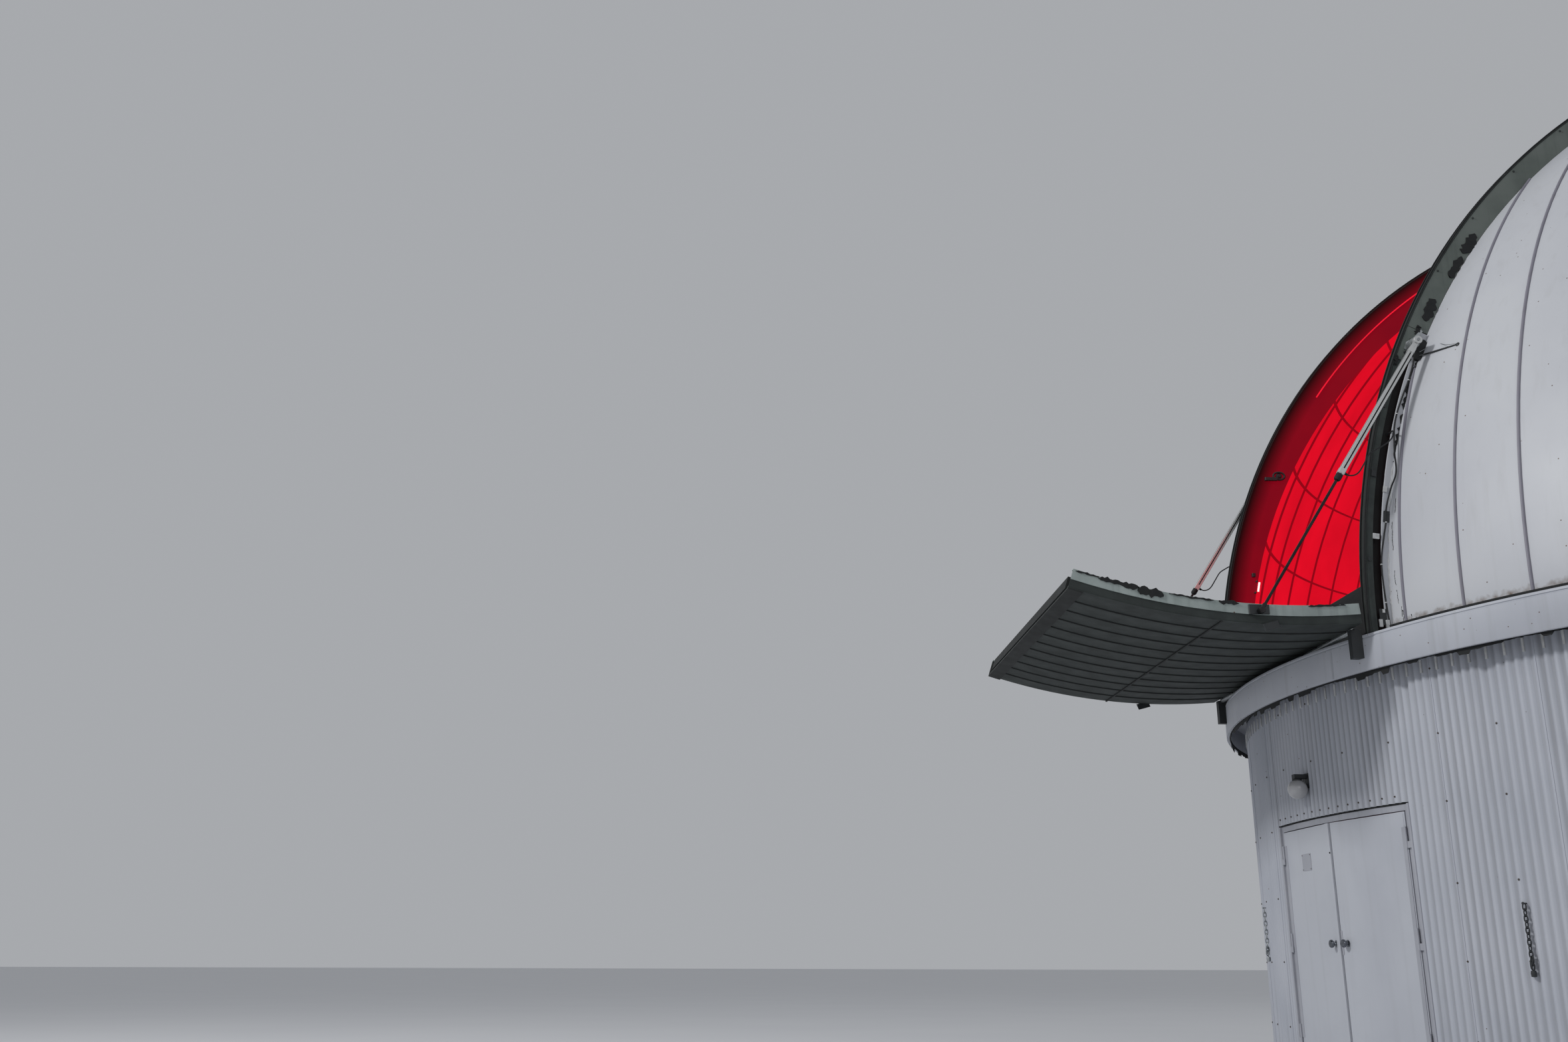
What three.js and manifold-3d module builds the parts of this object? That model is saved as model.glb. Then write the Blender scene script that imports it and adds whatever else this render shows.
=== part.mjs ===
// An observatory dome: a round hollow building with a corrugated wall, a double entrance door
// and a turning dome whose slit is closed by a parked upper shutter and a fold-down lower one.
// Millimetres, +Z up. The slit faces -Y; azimuths are degrees from -Y towards +X.

import * as THREE from 'three';
import { mergeVertices } from 'three/addons/utils/BufferGeometryUtils.js';
import Module from 'manifold-3d';

const wasm = await Module();
wasm.setup();

// Fits: solids that rest on each other are drawn this far apart
const SEAT = 0.3;
// Solids that are joined into one reach this far into each other
const LAP = 1;
const BIG = 9000;

// Round wall and floor
const WALL_R = 5280;
const WALL_T = 90;
const WALL_TOP = 3090;
const FLOOR_R = 5270;
const FLOOR_T = 60;
const WALL_SEGMENTS = 6;
const WALL_STEP = 5;

// Entrance: two flat leaves, each on its own chord of the round wall
const DOOR_AZ = 6;
const LEAF_SPAN = 10.5;
const OPENING_TOP = 2062;
const HEAD_H = 45;
const JAMB_W = 56;
const FRAME_DEPTH = 110;
const FRAME_PROUD = 2;
const LEAF_PROUD = 12;
const FRAME_R = WALL_R + FRAME_PROUD;
const LEAF_R = WALL_R + LEAF_PROUD;
const THRESHOLD_H = 15;
const LEAF_T = 45;
const LEAF_HINGE_GAP = 66;
const LEAF_MEETING_GAP = 7;
const LEAF_FOOT_GAP = 9;
const LEAF_HEAD_GAP = 7;
const LEAF_BOTTOM = FLOOR_T + THRESHOLD_H + LEAF_FOOT_GAP;
const LEAF_TOP = OPENING_TOP - HEAD_H - LEAF_HEAD_GAP;
const HINGE_PIN_U = 61;
const HINGE_PIN_V = 11;
const HINGE_R = 9;
const HINGE_LENGTH = 100;
const HINGE_LEVELS = [484, 1169, 1854];
const HINGE_STRAP_W = 40;
const KNUCKLE_LENGTH = 45;
const PIN_GAP = 0.5;
const HINGE_STRAP_T = 4;
const STRAP_GAP = 2;
const KNOB_LEVEL = 1129;
const KNOB_INSET = 78;
const ASTRAGAL_W = 55;
const ASTRAGAL_T = 9;

// Lamp over the entrance
const LAMP_AZ = 2.9;
const LAMP_LEVEL = 2294;
const LAMP_R = 77;
const LAMP_REACH = 92;
const LAMP_ARM_W = 46;
const LAMP_ARM_H = 40;

// Track on the wall and the dome's base ring over it
const TRACK_R_IN = 5185;
const TRACK_R_OUT = 5288;
const TRACK_TOP = 3210;
const RAIL_R = [5215, 5255];
const RAIL_GAP = 0.5;
const RUNNING_GAP = 8;
const RING_BOTTOM = 3000;
const RING_TOP = 3262;
const RING_R = 5475;
const RING_R_IN = 5150;
const SKIRT_T = 30;
const RING_STEPS = 72;

// Dome shell
const DOME_R = 5300;
const DOME_T = 35;
const DOME_Z = 3323;
const DOME_AZ_STEPS = 48;
const DOME_EL_STEPS = 12;

// Slit arches: flat ribs in two vertical planes
const ARCH_IN = 1503;
const ARCH_T = 70;
const ARCH_OUT = ARCH_IN + ARCH_T;
const ARCH_R_IN = 4903;
const ARCH_R_OUT = 5233;
const ARC_STEP = 5;

// Closed strip of roof behind the slit and the sill at the slit's foot
const SLIT_END_EL = 100;
// Arcs are drawn past the base ring and cut off at its top
const ARC_START = -5;
const ARC_END = 185;
const REAR_R_OUT = 5180;
const REAR_T = 30;
const SILL_IN_Y = 5160;
const SILL_TOP = 3590;

// Shutters: bent to one arc, straight across
const SHUTTER_R = 5290;
const SHUTTER_T = 25;
const SHUTTER_HALF = 1640;
const FLANGE_T = 40;
const FLANGE_R_IN = 5150;
const UPPER_EL = [100, 175];
const RUNNER_X = [1518, 1558];
const LOWER_FOOT_Z = 3312;
const LOWER_TIP_EL = 23;
const LOWER_ARC_END = 25;
const CROSS_CLEAR = 7;
const CROSS_HALF = ARCH_IN - CROSS_CLEAR;
const CROSS_R_IN = 5170;
const CROSS_SPAN_EL = 0.55;
const RIB_EL = 11.5;
const HINGE_Y = 5305;
const HINGE_Z = 3302;
const OPEN_ANGLE = 95;
const TUBE_R = 22;
const HUB_R = 12;
const TUBE_HALF = 1440;
const BRACKET_X = [1440.5, 1500];
const BRACKET_BOTTOM = 3090;
const BRACKET_TOP = 3298;
const BRACKET_REACH = 40;

// Actuators in the planes beside the arches
const ACT_X = 1700;
const MOUNT_EL = 25;
const MOUNT_R = 5150;
const MOUNT_BOSS_R = 38;
const LUG_EL = 8;
const LUG_R = 5205;
const LUG_BOSS_R = 26;
const EYE_HALF = 28;
const SIDE_GAP = 6;
const PIN_R = 12;
const EYE_BORE_R = 12.6;
const EYE_R = 32;
const BODY_R = 27;
const BORE_R = 11.6;
const BORE_START = 100;
const BODY_LENGTH = 1350;
const ROD_R = 11;
const ROD_LENGTH = 1400;
const ROD_EYE_R = 24;

// Cable tied along the outer face of each arch, from the base ring to the actuator's mount
const CABLE_R = 6;
const CABLE_X = ARCH_OUT + SEAT + CABLE_R;
const CABLE_LINE_R = 5085;
const CABLE_SIDES = 8;
const CABLE_STEPS = 144;

const COLOURS = {
  wallSheet: [0x8f958f, 0.55, 0.4],
  concrete: [0x8d8a83, 0.9, 0.0],
  doorPaint: [0x9fa39d, 0.6, 0.1],
  framePaint: [0x8c918c, 0.6, 0.2],
  galvanised: [0xa9adab, 0.45, 0.8],
  chrome: [0x9a9da0, 0.25, 1.0],
  darkSteel: [0x3a3d3e, 0.5, 0.7],
  opal: [0xece6d6, 0.3, 0.0],
  domeWhite: [0xc9cdca, 0.5, 0.2],
  ringWhite: [0xc2c6c2, 0.5, 0.2],
  archGreen: [0x6f7a74, 0.55, 0.3],
  shutterGreen: [0x59645f, 0.6, 0.3],
  rodSteel: [0xb5b8b8, 0.25, 1.0],
  cableBlack: [0x26282a, 0.7, 0.0],
};

const rad = (degrees) => (degrees * Math.PI) / 180;
const planPoint = (r, az) => [r * Math.sin(rad(az)), -r * Math.cos(rad(az))];
const slitPoint = (r, el) => [-r * Math.cos(rad(el)), DOME_Z + r * Math.sin(rad(el))];

// The angles of an arc, in steps of at most the given size
function steps(from, to, size) {
  const count = Math.max(1, Math.ceil(Math.abs(to - from) / size - 1e-6));
  return Array.from({ length: count + 1 }, (_, i) => from + ((to - from) * i) / count);
}

// Six times the signed volume of a triangle mesh
function signedVolume(position, index) {
  const [a, b, c] = [new THREE.Vector3(), new THREE.Vector3(), new THREE.Vector3()];
  let total = 0;
  for (let i = 0; i < index.length; i += 3) {
    a.fromBufferAttribute(position, index[i]);
    b.fromBufferAttribute(position, index[i + 1]);
    c.fromBufferAttribute(position, index[i + 2]);
    total += a.dot(b.cross(c));
  }
  return total;
}

// Turns a three.js geometry into a manifold that faces outwards, dropping slivers at a lathe's poles
function solid(geometry) {
  const bare = new THREE.BufferGeometry();
  bare.setAttribute('position', geometry.getAttribute('position'));
  bare.setIndex(geometry.getIndex());
  const merged = mergeVertices(bare, 1e-3);
  const index = merged.getIndex().array;
  const kept = [];
  for (let i = 0; i < index.length; i += 3) {
    const [a, b, c] = [index[i], index[i + 1], index[i + 2]];
    if (a !== b && b !== c && c !== a) kept.push(a, b, c);
  }
  const position = merged.getAttribute('position');
  const outwards = signedVolume(position, kept) > 0;
  return new wasm.Manifold(new wasm.Mesh({
    numProp: 3,
    vertProperties: new Float32Array(position.array),
    triVerts: new Uint32Array(outwards ? kept : kept.reverse()),
  }));
}

function extruded(points, height) {
  const shape = new THREE.Shape(points.map(([x, y]) => new THREE.Vector2(x, y)));
  return new THREE.ExtrudeGeometry(shape, { depth: height, bevelEnabled: false, steps: 1 });
}

function box(x0, x1, y0, y1, z0, z1) {
  const geometry = new THREE.BoxGeometry(x1 - x0, y1 - y0, z1 - z0);
  geometry.translate((x0 + x1) / 2, (y0 + y1) / 2, (z0 + z1) / 2);
  return solid(geometry);
}

// A piece of a ring seen from above, between two radii, two azimuths and two levels
function sector(r0, r1, az0, az1, z0, z1, size = WALL_STEP) {
  const turns = steps(az0, az1, size);
  const outer = turns.map((az) => planPoint(r1, az));
  const inner = turns.map((az) => planPoint(r0, az)).reverse();
  const geometry = extruded([...outer, ...inner], z1 - z0);
  geometry.translate(0, 0, z0);
  return solid(geometry);
}

// A piece of a vertical arc about the dome's centre, as wide as x0 to x1
function arcBand(r0, r1, el0, el1, x0, x1, size = ARC_STEP) {
  const turns = steps(el0, el1, size);
  const outer = turns.map((el) => slitPoint(r1, el)).reverse();
  const inner = turns.map((el) => slitPoint(r0, el));
  const geometry = extruded([...inner, ...outer], x1 - x0);
  geometry.applyMatrix4(new THREE.Matrix4().makeBasis(
    new THREE.Vector3(0, 1, 0),
    new THREE.Vector3(0, 0, 1),
    new THREE.Vector3(1, 0, 0),
  ));
  geometry.translate(x0, 0, 0);
  return solid(geometry);
}

function revolved(profile, turns) {
  const geometry = new THREE.LatheGeometry(profile.map(([r, z]) => new THREE.Vector2(r, z)), turns);
  geometry.rotateX(Math.PI / 2);
  return solid(geometry);
}

// A round bar between two points
function bar(from, to, radius, sides = 12) {
  const a = new THREE.Vector3(...from);
  const b = new THREE.Vector3(...to);
  const along = b.clone().sub(a);
  const geometry = new THREE.CylinderGeometry(radius, radius, along.length(), sides);
  const turn = new THREE.Quaternion().setFromUnitVectors(
    new THREE.Vector3(0, 1, 0),
    along.clone().normalize(),
  );
  geometry.applyQuaternion(turn);
  const middle = a.add(b).multiplyScalar(0.5);
  geometry.translate(middle.x, middle.y, middle.z);
  return solid(geometry);
}

const part = new THREE.Group();
part.name = 'observatory_dome';

function place(name, shape, finish) {
  const mesh = shape.getMesh();
  const geometry = new THREE.BufferGeometry();
  geometry.setAttribute('position', new THREE.BufferAttribute(new Float32Array(mesh.vertProperties), 3));
  geometry.setIndex(new THREE.BufferAttribute(new Uint32Array(mesh.triVerts), 1));
  geometry.computeVertexNormals();
  const [color, roughness, metalness] = COLOURS[finish];
  const node = new THREE.Mesh(geometry, new THREE.MeshStandardMaterial({ color, roughness, metalness }));
  node.name = name;
  part.add(node);
}

// Mirrors a solid to the other side of the slit
const mirrored = (shape) => shape.mirror([1, 0, 0]);

// Floor and wall
place('floor_slab', revolved([[0, 0], [FLOOR_R, 0], [FLOOR_R, FLOOR_T], [0, FLOOR_T]], RING_STEPS),
  'concrete');

const openingStart = DOOR_AZ - LEAF_SPAN;
const openingEnd = DOOR_AZ + LEAF_SPAN;
const seatAz = (SEAT / 2 / WALL_R) * (180 / Math.PI);
const wallSpan = (360 - 2 * LEAF_SPAN) / WALL_SEGMENTS;
for (let i = 0; i < WALL_SEGMENTS; i += 1) {
  const start = openingEnd + wallSpan * i;
  const wall = sector(WALL_R - WALL_T, WALL_R, start + seatAz, start + wallSpan - seatAz,
    FLOOR_T + SEAT, WALL_TOP);
  place(`wall_segment_${i + 1}`, wall, 'wallSheet');
}
const overDoor = (r0, r1, z0, z1) => sector(r0, r1, openingStart + seatAz, openingEnd - seatAz, z0, z1);
place('wall_over_door', overDoor(WALL_R - WALL_T, WALL_R, OPENING_TOP + SEAT, WALL_TOP), 'wallSheet');

// Door frame
const frameIn = FRAME_R - FRAME_DEPTH;
const jambAz = (JAMB_W / FRAME_R) * (180 / Math.PI);
const frameTop = OPENING_TOP - HEAD_H;
place('door_head', sector(frameIn, FRAME_R, openingStart + seatAz, openingEnd - seatAz,
  frameTop, OPENING_TOP), 'framePaint');
place('door_threshold', sector(frameIn, FLOOR_R, openingStart + jambAz + seatAz,
  openingEnd - jambAz - seatAz, FLOOR_T + SEAT, FLOOR_T + THRESHOLD_H), 'galvanised');

// A leaf's own frame: u along its chord from the hinge side, v outwards, w up
function leafFrame(side) {
  const hingeAz = side < 0 ? openingStart : openingEnd;
  const a = new THREE.Vector3(...planPoint(LEAF_R, hingeAz), 0);
  const b = new THREE.Vector3(...planPoint(LEAF_R, DOOR_AZ), 0);
  const u = b.clone().sub(a).normalize();
  const v = new THREE.Vector3(u.y, -u.x, 0).multiplyScalar(side < 0 ? 1 : -1);
  return { origin: a, u, v, length: b.distanceTo(a) };
}

function leafPoint(leaf, u, v, w) {
  const p = leaf.origin.clone().addScaledVector(leaf.u, u).addScaledVector(leaf.v, v);
  return [p.x, p.y, w];
}

function leafBox(leaf, u0, u1, v0, v1, w0, w1) {
  const corners = [[u0, v0], [u1, v0], [u1, v1], [u0, v1]].map(([u, v]) => leafPoint(leaf, u, v, 0));
  const flat = THREE.ShapeUtils.isClockWise(corners.map(([x, y]) => new THREE.Vector2(x, y)))
    ? corners.reverse() : corners;
  const geometry = extruded(flat.map(([x, y]) => [x, y]), w1 - w0);
  geometry.translate(0, 0, w0);
  return solid(geometry);
}

const KNOB_PROFILE = [[0, 0], [13, 0], [13, 28], [27, 34], [30, 48], [20, 62], [0, 65]];

function knob(leaf, u, level) {
  const shape = new THREE.LatheGeometry(KNOB_PROFILE.map(([r, h]) => new THREE.Vector2(r, h)), 12);
  shape.applyQuaternion(new THREE.Quaternion().setFromUnitVectors(new THREE.Vector3(0, 1, 0), leaf.v));
  const [x, y, z] = leafPoint(leaf, u, SEAT, level);
  shape.translate(x, y, z);
  return solid(shape);
}

for (const side of [-1, 1]) {
  const leaf = leafFrame(side);
  const label = side < 0 ? 'left' : 'right';
  const jambStart = side < 0 ? openingStart + seatAz : openingEnd - jambAz;
  let jamb = sector(frameIn, FRAME_R, jambStart, jambStart + jambAz - seatAz, FLOOR_T + SEAT, frameTop - SEAT);
  for (const level of HINGE_LEVELS) {
    const top = level - HINGE_LENGTH / 2 - PIN_GAP;
    const pin = [HINGE_PIN_U, HINGE_PIN_V];
    jamb = jamb.add(bar(leafPoint(leaf, ...pin, top - KNUCKLE_LENGTH), leafPoint(leaf, ...pin, top), HINGE_R))
      .add(leafBox(leaf, JAMB_W - HINGE_STRAP_W, HINGE_PIN_U, -JAMB_W, HINGE_PIN_V, top - KNUCKLE_LENGTH, top));
  }
  place(`door_jamb_${label}`, jamb, 'framePaint');

  const meeting = leaf.length - LEAF_MEETING_GAP;
  const panel = leafBox(leaf, LEAF_HINGE_GAP, meeting, -LEAF_T, 0, LEAF_BOTTOM, LEAF_TOP);
  place(`door_${label}_leaf`, panel, 'doorPaint');

  const strapU = HINGE_PIN_U + HINGE_R + STRAP_GAP;
  let hinges = leafBox(leaf, strapU, strapU + HINGE_STRAP_W, SEAT, SEAT + HINGE_STRAP_T,
    HINGE_LEVELS[0] - HINGE_LENGTH / 2, HINGE_LEVELS[2] + HINGE_LENGTH / 2);
  for (const level of HINGE_LEVELS) {
    const low = level - HINGE_LENGTH / 2;
    const high = level + HINGE_LENGTH / 2;
    hinges = hinges.add(leafBox(leaf, LEAF_HINGE_GAP, strapU + LAP, SEAT, SEAT + HINGE_STRAP_T, low, high))
      .add(bar(leafPoint(leaf, HINGE_PIN_U, HINGE_PIN_V, low),
        leafPoint(leaf, HINGE_PIN_U, HINGE_PIN_V, high), HINGE_R));
  }
  place(`door_${label}_hinges`, hinges, 'framePaint');
  place(`door_${label}_knob`, knob(leaf, meeting - KNOB_INSET, KNOB_LEVEL), 'chrome');
  if (side < 0) {
    place('door_astragal', leafBox(leaf, meeting - ASTRAGAL_W, meeting, SEAT, SEAT + ASTRAGAL_T,
      LEAF_BOTTOM, LEAF_TOP), 'framePaint');
  }
}

// Lamp
const lampR = WALL_R + LAMP_REACH;
const lampTop = LAMP_LEVEL + LAMP_R + SEAT;
const [lampX, lampY] = planPoint(lampR, LAMP_AZ);
const globe = new THREE.SphereGeometry(LAMP_R, 16, 10);
globe.rotateX(Math.PI / 2);
globe.translate(lampX, lampY, LAMP_LEVEL);
place('lamp_globe', solid(globe), 'opal');
const armAz = (LAMP_ARM_W / 2 / WALL_R) * (180 / Math.PI);
place('lamp_bracket', sector(WALL_R - WALL_T, lampR + LAMP_ARM_W / 2, LAMP_AZ - armAz, LAMP_AZ + armAz,
  lampTop, lampTop + LAMP_ARM_H).subtract(overDoor(WALL_R / 2, WALL_R + SEAT, 0, WALL_TOP)), 'darkSteel');

// Track and base ring
const plateBottom = TRACK_TOP + RUNNING_GAP;
const railTop = plateBottom - RAIL_GAP;
const trackProfile = [[TRACK_R_IN, WALL_TOP + SEAT], [TRACK_R_OUT, WALL_TOP + SEAT],
  [TRACK_R_OUT, TRACK_TOP], [RAIL_R[1], TRACK_TOP], [RAIL_R[1], railTop], [RAIL_R[0], railTop],
  [RAIL_R[0], TRACK_TOP], [TRACK_R_IN, TRACK_TOP], [TRACK_R_IN, WALL_TOP + SEAT]];
place('track_ring', revolved(trackProfile, RING_STEPS), 'darkSteel');
const ringProfile = [[RING_R_IN, plateBottom], [RING_R - SKIRT_T, plateBottom],
  [RING_R - SKIRT_T, RING_BOTTOM], [RING_R, RING_BOTTOM], [RING_R, RING_TOP],
  [RING_R_IN, RING_TOP], [RING_R_IN, plateBottom]];
place('base_ring', revolved(ringProfile, RING_STEPS), 'ringWhite');

// Dome shell in four pieces beside the arches
const shellFoot = RING_TOP + SEAT - DOME_Z;
function shellArc(r) {
  const foot = Math.asin(shellFoot / r) * (180 / Math.PI);
  return steps(foot, 90, 90 / DOME_EL_STEPS).map((el) => [r * Math.cos(rad(el)), DOME_Z + r * Math.sin(rad(el))]);
}
const outerArc = shellArc(DOME_R).reverse();
const innerArc = shellArc(DOME_R - DOME_T);
outerArc[0][0] = 0;
innerArc[innerArc.length - 1][0] = 0;
const shell = revolved([...outerArc, ...innerArc], DOME_AZ_STEPS);
const frontHalf = box(ARCH_OUT + SEAT, BIG, -BIG, -SEAT / 2, 0, BIG + DOME_Z);
const rearHalf = box(ARCH_OUT + SEAT, BIG, SEAT / 2, BIG, 0, BIG + DOME_Z);
const frontPanel = shell.intersect(frontHalf);
const rearPanel = shell.intersect(rearHalf);
place('dome_right_front', frontPanel, 'domeWhite');
place('dome_right_rear', rearPanel, 'domeWhite');
place('dome_left_front', mirrored(frontPanel), 'domeWhite');
place('dome_left_rear', mirrored(rearPanel), 'domeWhite');

// Arches, rear strip and sill
const aboveRing = box(-BIG, BIG, -BIG, BIG, RING_TOP + SEAT, BIG + DOME_Z);
const arch = arcBand(ARCH_R_IN, ARCH_R_OUT, ARC_START, ARC_END, ARCH_IN, ARCH_OUT).intersect(aboveRing);
place('arch_right', arch, 'archGreen');
place('arch_left', mirrored(arch), 'archGreen');
const between = ARCH_IN - SEAT;
place('dome_rear_strip', arcBand(REAR_R_OUT - REAR_T, REAR_R_OUT, SLIT_END_EL, ARC_END, -between, between)
  .intersect(aboveRing), 'domeWhite');
place('slit_sill', box(-between, between, -ARCH_R_OUT, -SILL_IN_Y, RING_TOP + SEAT, SILL_TOP), 'archGreen');

// Upper shutter, parked behind the zenith: a skin with a flange beyond each arch
const skinIn = SHUTTER_R - SHUTTER_T;
const flangeX = SHUTTER_HALF - FLANGE_T;
place('upper_shutter_skin', arcBand(skinIn, SHUTTER_R, UPPER_EL[0], UPPER_EL[1],
  -SHUTTER_HALF, SHUTTER_HALF), 'shutterGreen');
const upperFlange = arcBand(FLANGE_R_IN, skinIn - SEAT, UPPER_EL[0], UPPER_EL[1], flangeX, SHUTTER_HALF);
place('upper_shutter_flange_right', upperFlange, 'archGreen');
place('upper_shutter_flange_left', mirrored(upperFlange), 'archGreen');
const runner = arcBand(ARCH_R_OUT + SEAT, skinIn - SEAT, UPPER_EL[0], UPPER_EL[1], RUNNER_X[0], RUNNER_X[1]);
place('upper_shutter_runner_right', runner, 'darkSteel');
place('upper_shutter_runner_left', mirrored(runner), 'darkSteel');

// Lower shutter: drawn shut, then folded out about its hinge to the pose at rest
const aboveFoot = box(-BIG, BIG, -BIG, BIG, LOWER_FOOT_Z, BIG + DOME_Z);
function foldedOut(shape) {
  return shape.translate([0, HINGE_Y, -HINGE_Z])
    .rotate([OPEN_ANGLE, 0, 0])
    .translate([0, -HINGE_Y, HINGE_Z]);
}
function foldedPoint([y, z]) {
  const turned = new THREE.Vector2(y + HINGE_Y, z - HINGE_Z).rotateAround(new THREE.Vector2(), rad(OPEN_ANGLE));
  return [turned.x - HINGE_Y, turned.y + HINGE_Z];
}
const lowerEnds = aboveFoot.intersect(arcBand(ARCH_R_IN, BIG, ARC_START, LOWER_TIP_EL, -BIG, BIG));
const lowerBand = (r0, r1, x0, x1) => arcBand(r0, r1, ARC_START, LOWER_ARC_END, x0, x1).intersect(lowerEnds);
const [lugY, lugZ] = slitPoint(LUG_R, LUG_EL);
const lugEnd = ACT_X - EYE_HALF - SIDE_GAP;
const lowerFlange = lowerBand(FLANGE_R_IN, skinIn - SEAT, flangeX, SHUTTER_HALF)
  .add(bar([SHUTTER_HALF - LAP, lugY, lugZ], [lugEnd, lugY, lugZ], LUG_BOSS_R));
place('lower_shutter_skin', foldedOut(lowerBand(skinIn, SHUTTER_R, -SHUTTER_HALF, SHUTTER_HALF)), 'shutterGreen');
place('lower_shutter_flange_right', foldedOut(lowerFlange), 'archGreen');
place('lower_shutter_flange_left', foldedOut(mirrored(lowerFlange)), 'archGreen');
const crossBand = lowerBand(CROSS_R_IN, skinIn - SEAT, -CROSS_HALF, CROSS_HALF);
const crossBar = (el) => foldedOut(crossBand.intersect(
  arcBand(ARCH_R_IN, BIG, el - CROSS_SPAN_EL, el, -BIG, BIG)));
place('lower_shutter_tip_rail', crossBar(LOWER_TIP_EL), 'archGreen');
place('lower_shutter_rib', crossBar(RIB_EL), 'archGreen');
const skinCore = arcBand(ARCH_R_IN, SHUTTER_R + SEAT, ARC_START, LOWER_ARC_END, -BIG, BIG).intersect(
  box(-BIG, BIG, -BIG, BIG, LOWER_FOOT_Z - SEAT, BIG));
place('lower_shutter_hinge_tube', foldedOut(bar([-TUBE_HALF, -HINGE_Y, HINGE_Z],
  [TUBE_HALF, -HINGE_Y, HINGE_Z], TUBE_R).subtract(skinCore)), 'galvanised');

// Hinge brackets on the face of the base ring
const ringCore = revolved([[0, 0], [RING_R + SEAT, 0], [RING_R + SEAT, RING_TOP + SEAT],
  [0, RING_TOP + SEAT]], RING_STEPS);
const bracket = box(BRACKET_X[0], BRACKET_X[1], -HINGE_Y - BRACKET_REACH, -HINGE_Y + BRACKET_REACH,
  BRACKET_BOTTOM, BRACKET_TOP)
  .add(bar([BRACKET_X[0], -HINGE_Y, HINGE_Z], [BRACKET_X[1], -HINGE_Y, HINGE_Z], HUB_R))
  .subtract(ringCore);
place('shutter_hinge_bracket_right', bracket, 'galvanised');
place('shutter_hinge_bracket_left', mirrored(bracket), 'galvanised');

// Actuators: a pinned cylinder on each arch and a rod to the lower shutter's flange
const [mountY, mountZ] = slitPoint(MOUNT_R, MOUNT_EL);
const [endY, endZ] = foldedPoint([lugY, lugZ]);
const reach = Math.hypot(endY - mountY, endZ - mountZ);
const along = (distance) => [ACT_X, mountY + ((endY - mountY) * distance) / reach,
  mountZ + ((endZ - mountZ) * distance) / reach];
const across = (centre, x0, x1, radius) => bar([x0, centre[1], centre[2]], [x1, centre[1], centre[2]], radius);
const mountPoint = along(0);
const lugPoint = along(reach);
const eyeIn = ACT_X - EYE_HALF;
const eyeOut = ACT_X + EYE_HALF;
const mount = across(mountPoint, ARCH_OUT + SEAT, eyeIn - SIDE_GAP, MOUNT_BOSS_R)
  .add(across(mountPoint, eyeIn - SIDE_GAP - LAP, eyeOut + SIDE_GAP, PIN_R));
place('actuator_mount_right', mount, 'galvanised');
place('actuator_mount_left', mirrored(mount), 'galvanised');
const cylinder = across(mountPoint, eyeIn, eyeOut, EYE_R)
  .add(bar(along(0), along(BODY_LENGTH), BODY_R))
  .subtract(bar(along(BORE_START), along(BODY_LENGTH + LAP), BORE_R))
  .subtract(across(mountPoint, eyeIn - BODY_R, eyeOut + BODY_R, EYE_BORE_R));
place('actuator_cylinder_right', cylinder, 'galvanised');
place('actuator_cylinder_left', mirrored(cylinder), 'galvanised');
const rod = across(lugPoint, eyeIn, eyeOut, ROD_EYE_R)
  .add(bar(along(reach - ROD_LENGTH), along(reach), ROD_R));
place('actuator_rod_right', rod, 'rodSteel');
place('actuator_rod_left', mirrored(rod), 'rodSteel');

// Cables: a ring about the dome's centre cut at the base ring and at the mount, and a stretch up to its boss
const cableSection = steps(0, 360, 360 / CABLE_SIDES).map((turn) => new THREE.Vector2(
  CABLE_LINE_R + CABLE_R * Math.cos(rad(turn)),
  CABLE_R * Math.sin(rad(turn)),
));
const cableRing = new THREE.LatheGeometry(cableSection, CABLE_STEPS);
cableRing.rotateZ(-Math.PI / 2);
cableRing.translate(CABLE_X, 0, DOME_Z);
const cableTurn = [CABLE_X, ...slitPoint(CABLE_LINE_R, MOUNT_EL)];
const cable = solid(cableRing)
  .intersect(arcBand(ARCH_R_IN, BIG, ARC_START, MOUNT_EL, -BIG, BIG))
  .intersect(aboveRing)
  .add(bar(cableTurn, [CABLE_X, mountY, mountZ], CABLE_R))
  .subtract(across(mountPoint, 0, BIG, MOUNT_BOSS_R + SEAT));
place('arch_cable_right', cable, 'cableBlack');
place('arch_cable_left', mirrored(cable), 'cableBlack');

export default part;
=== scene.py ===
"""The looks of the observatory dome, in metres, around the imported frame.

The slit faces -Y. Azimuths run from -Y towards +X, and elevations are measured at the dome's centre.
A paired piece is made for the right side, at +X, and mirrored for the left. In its name {} stands for
the side.
"""

import math

import bpy
import numpy as np
from mathutils import Matrix, Vector


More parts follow.
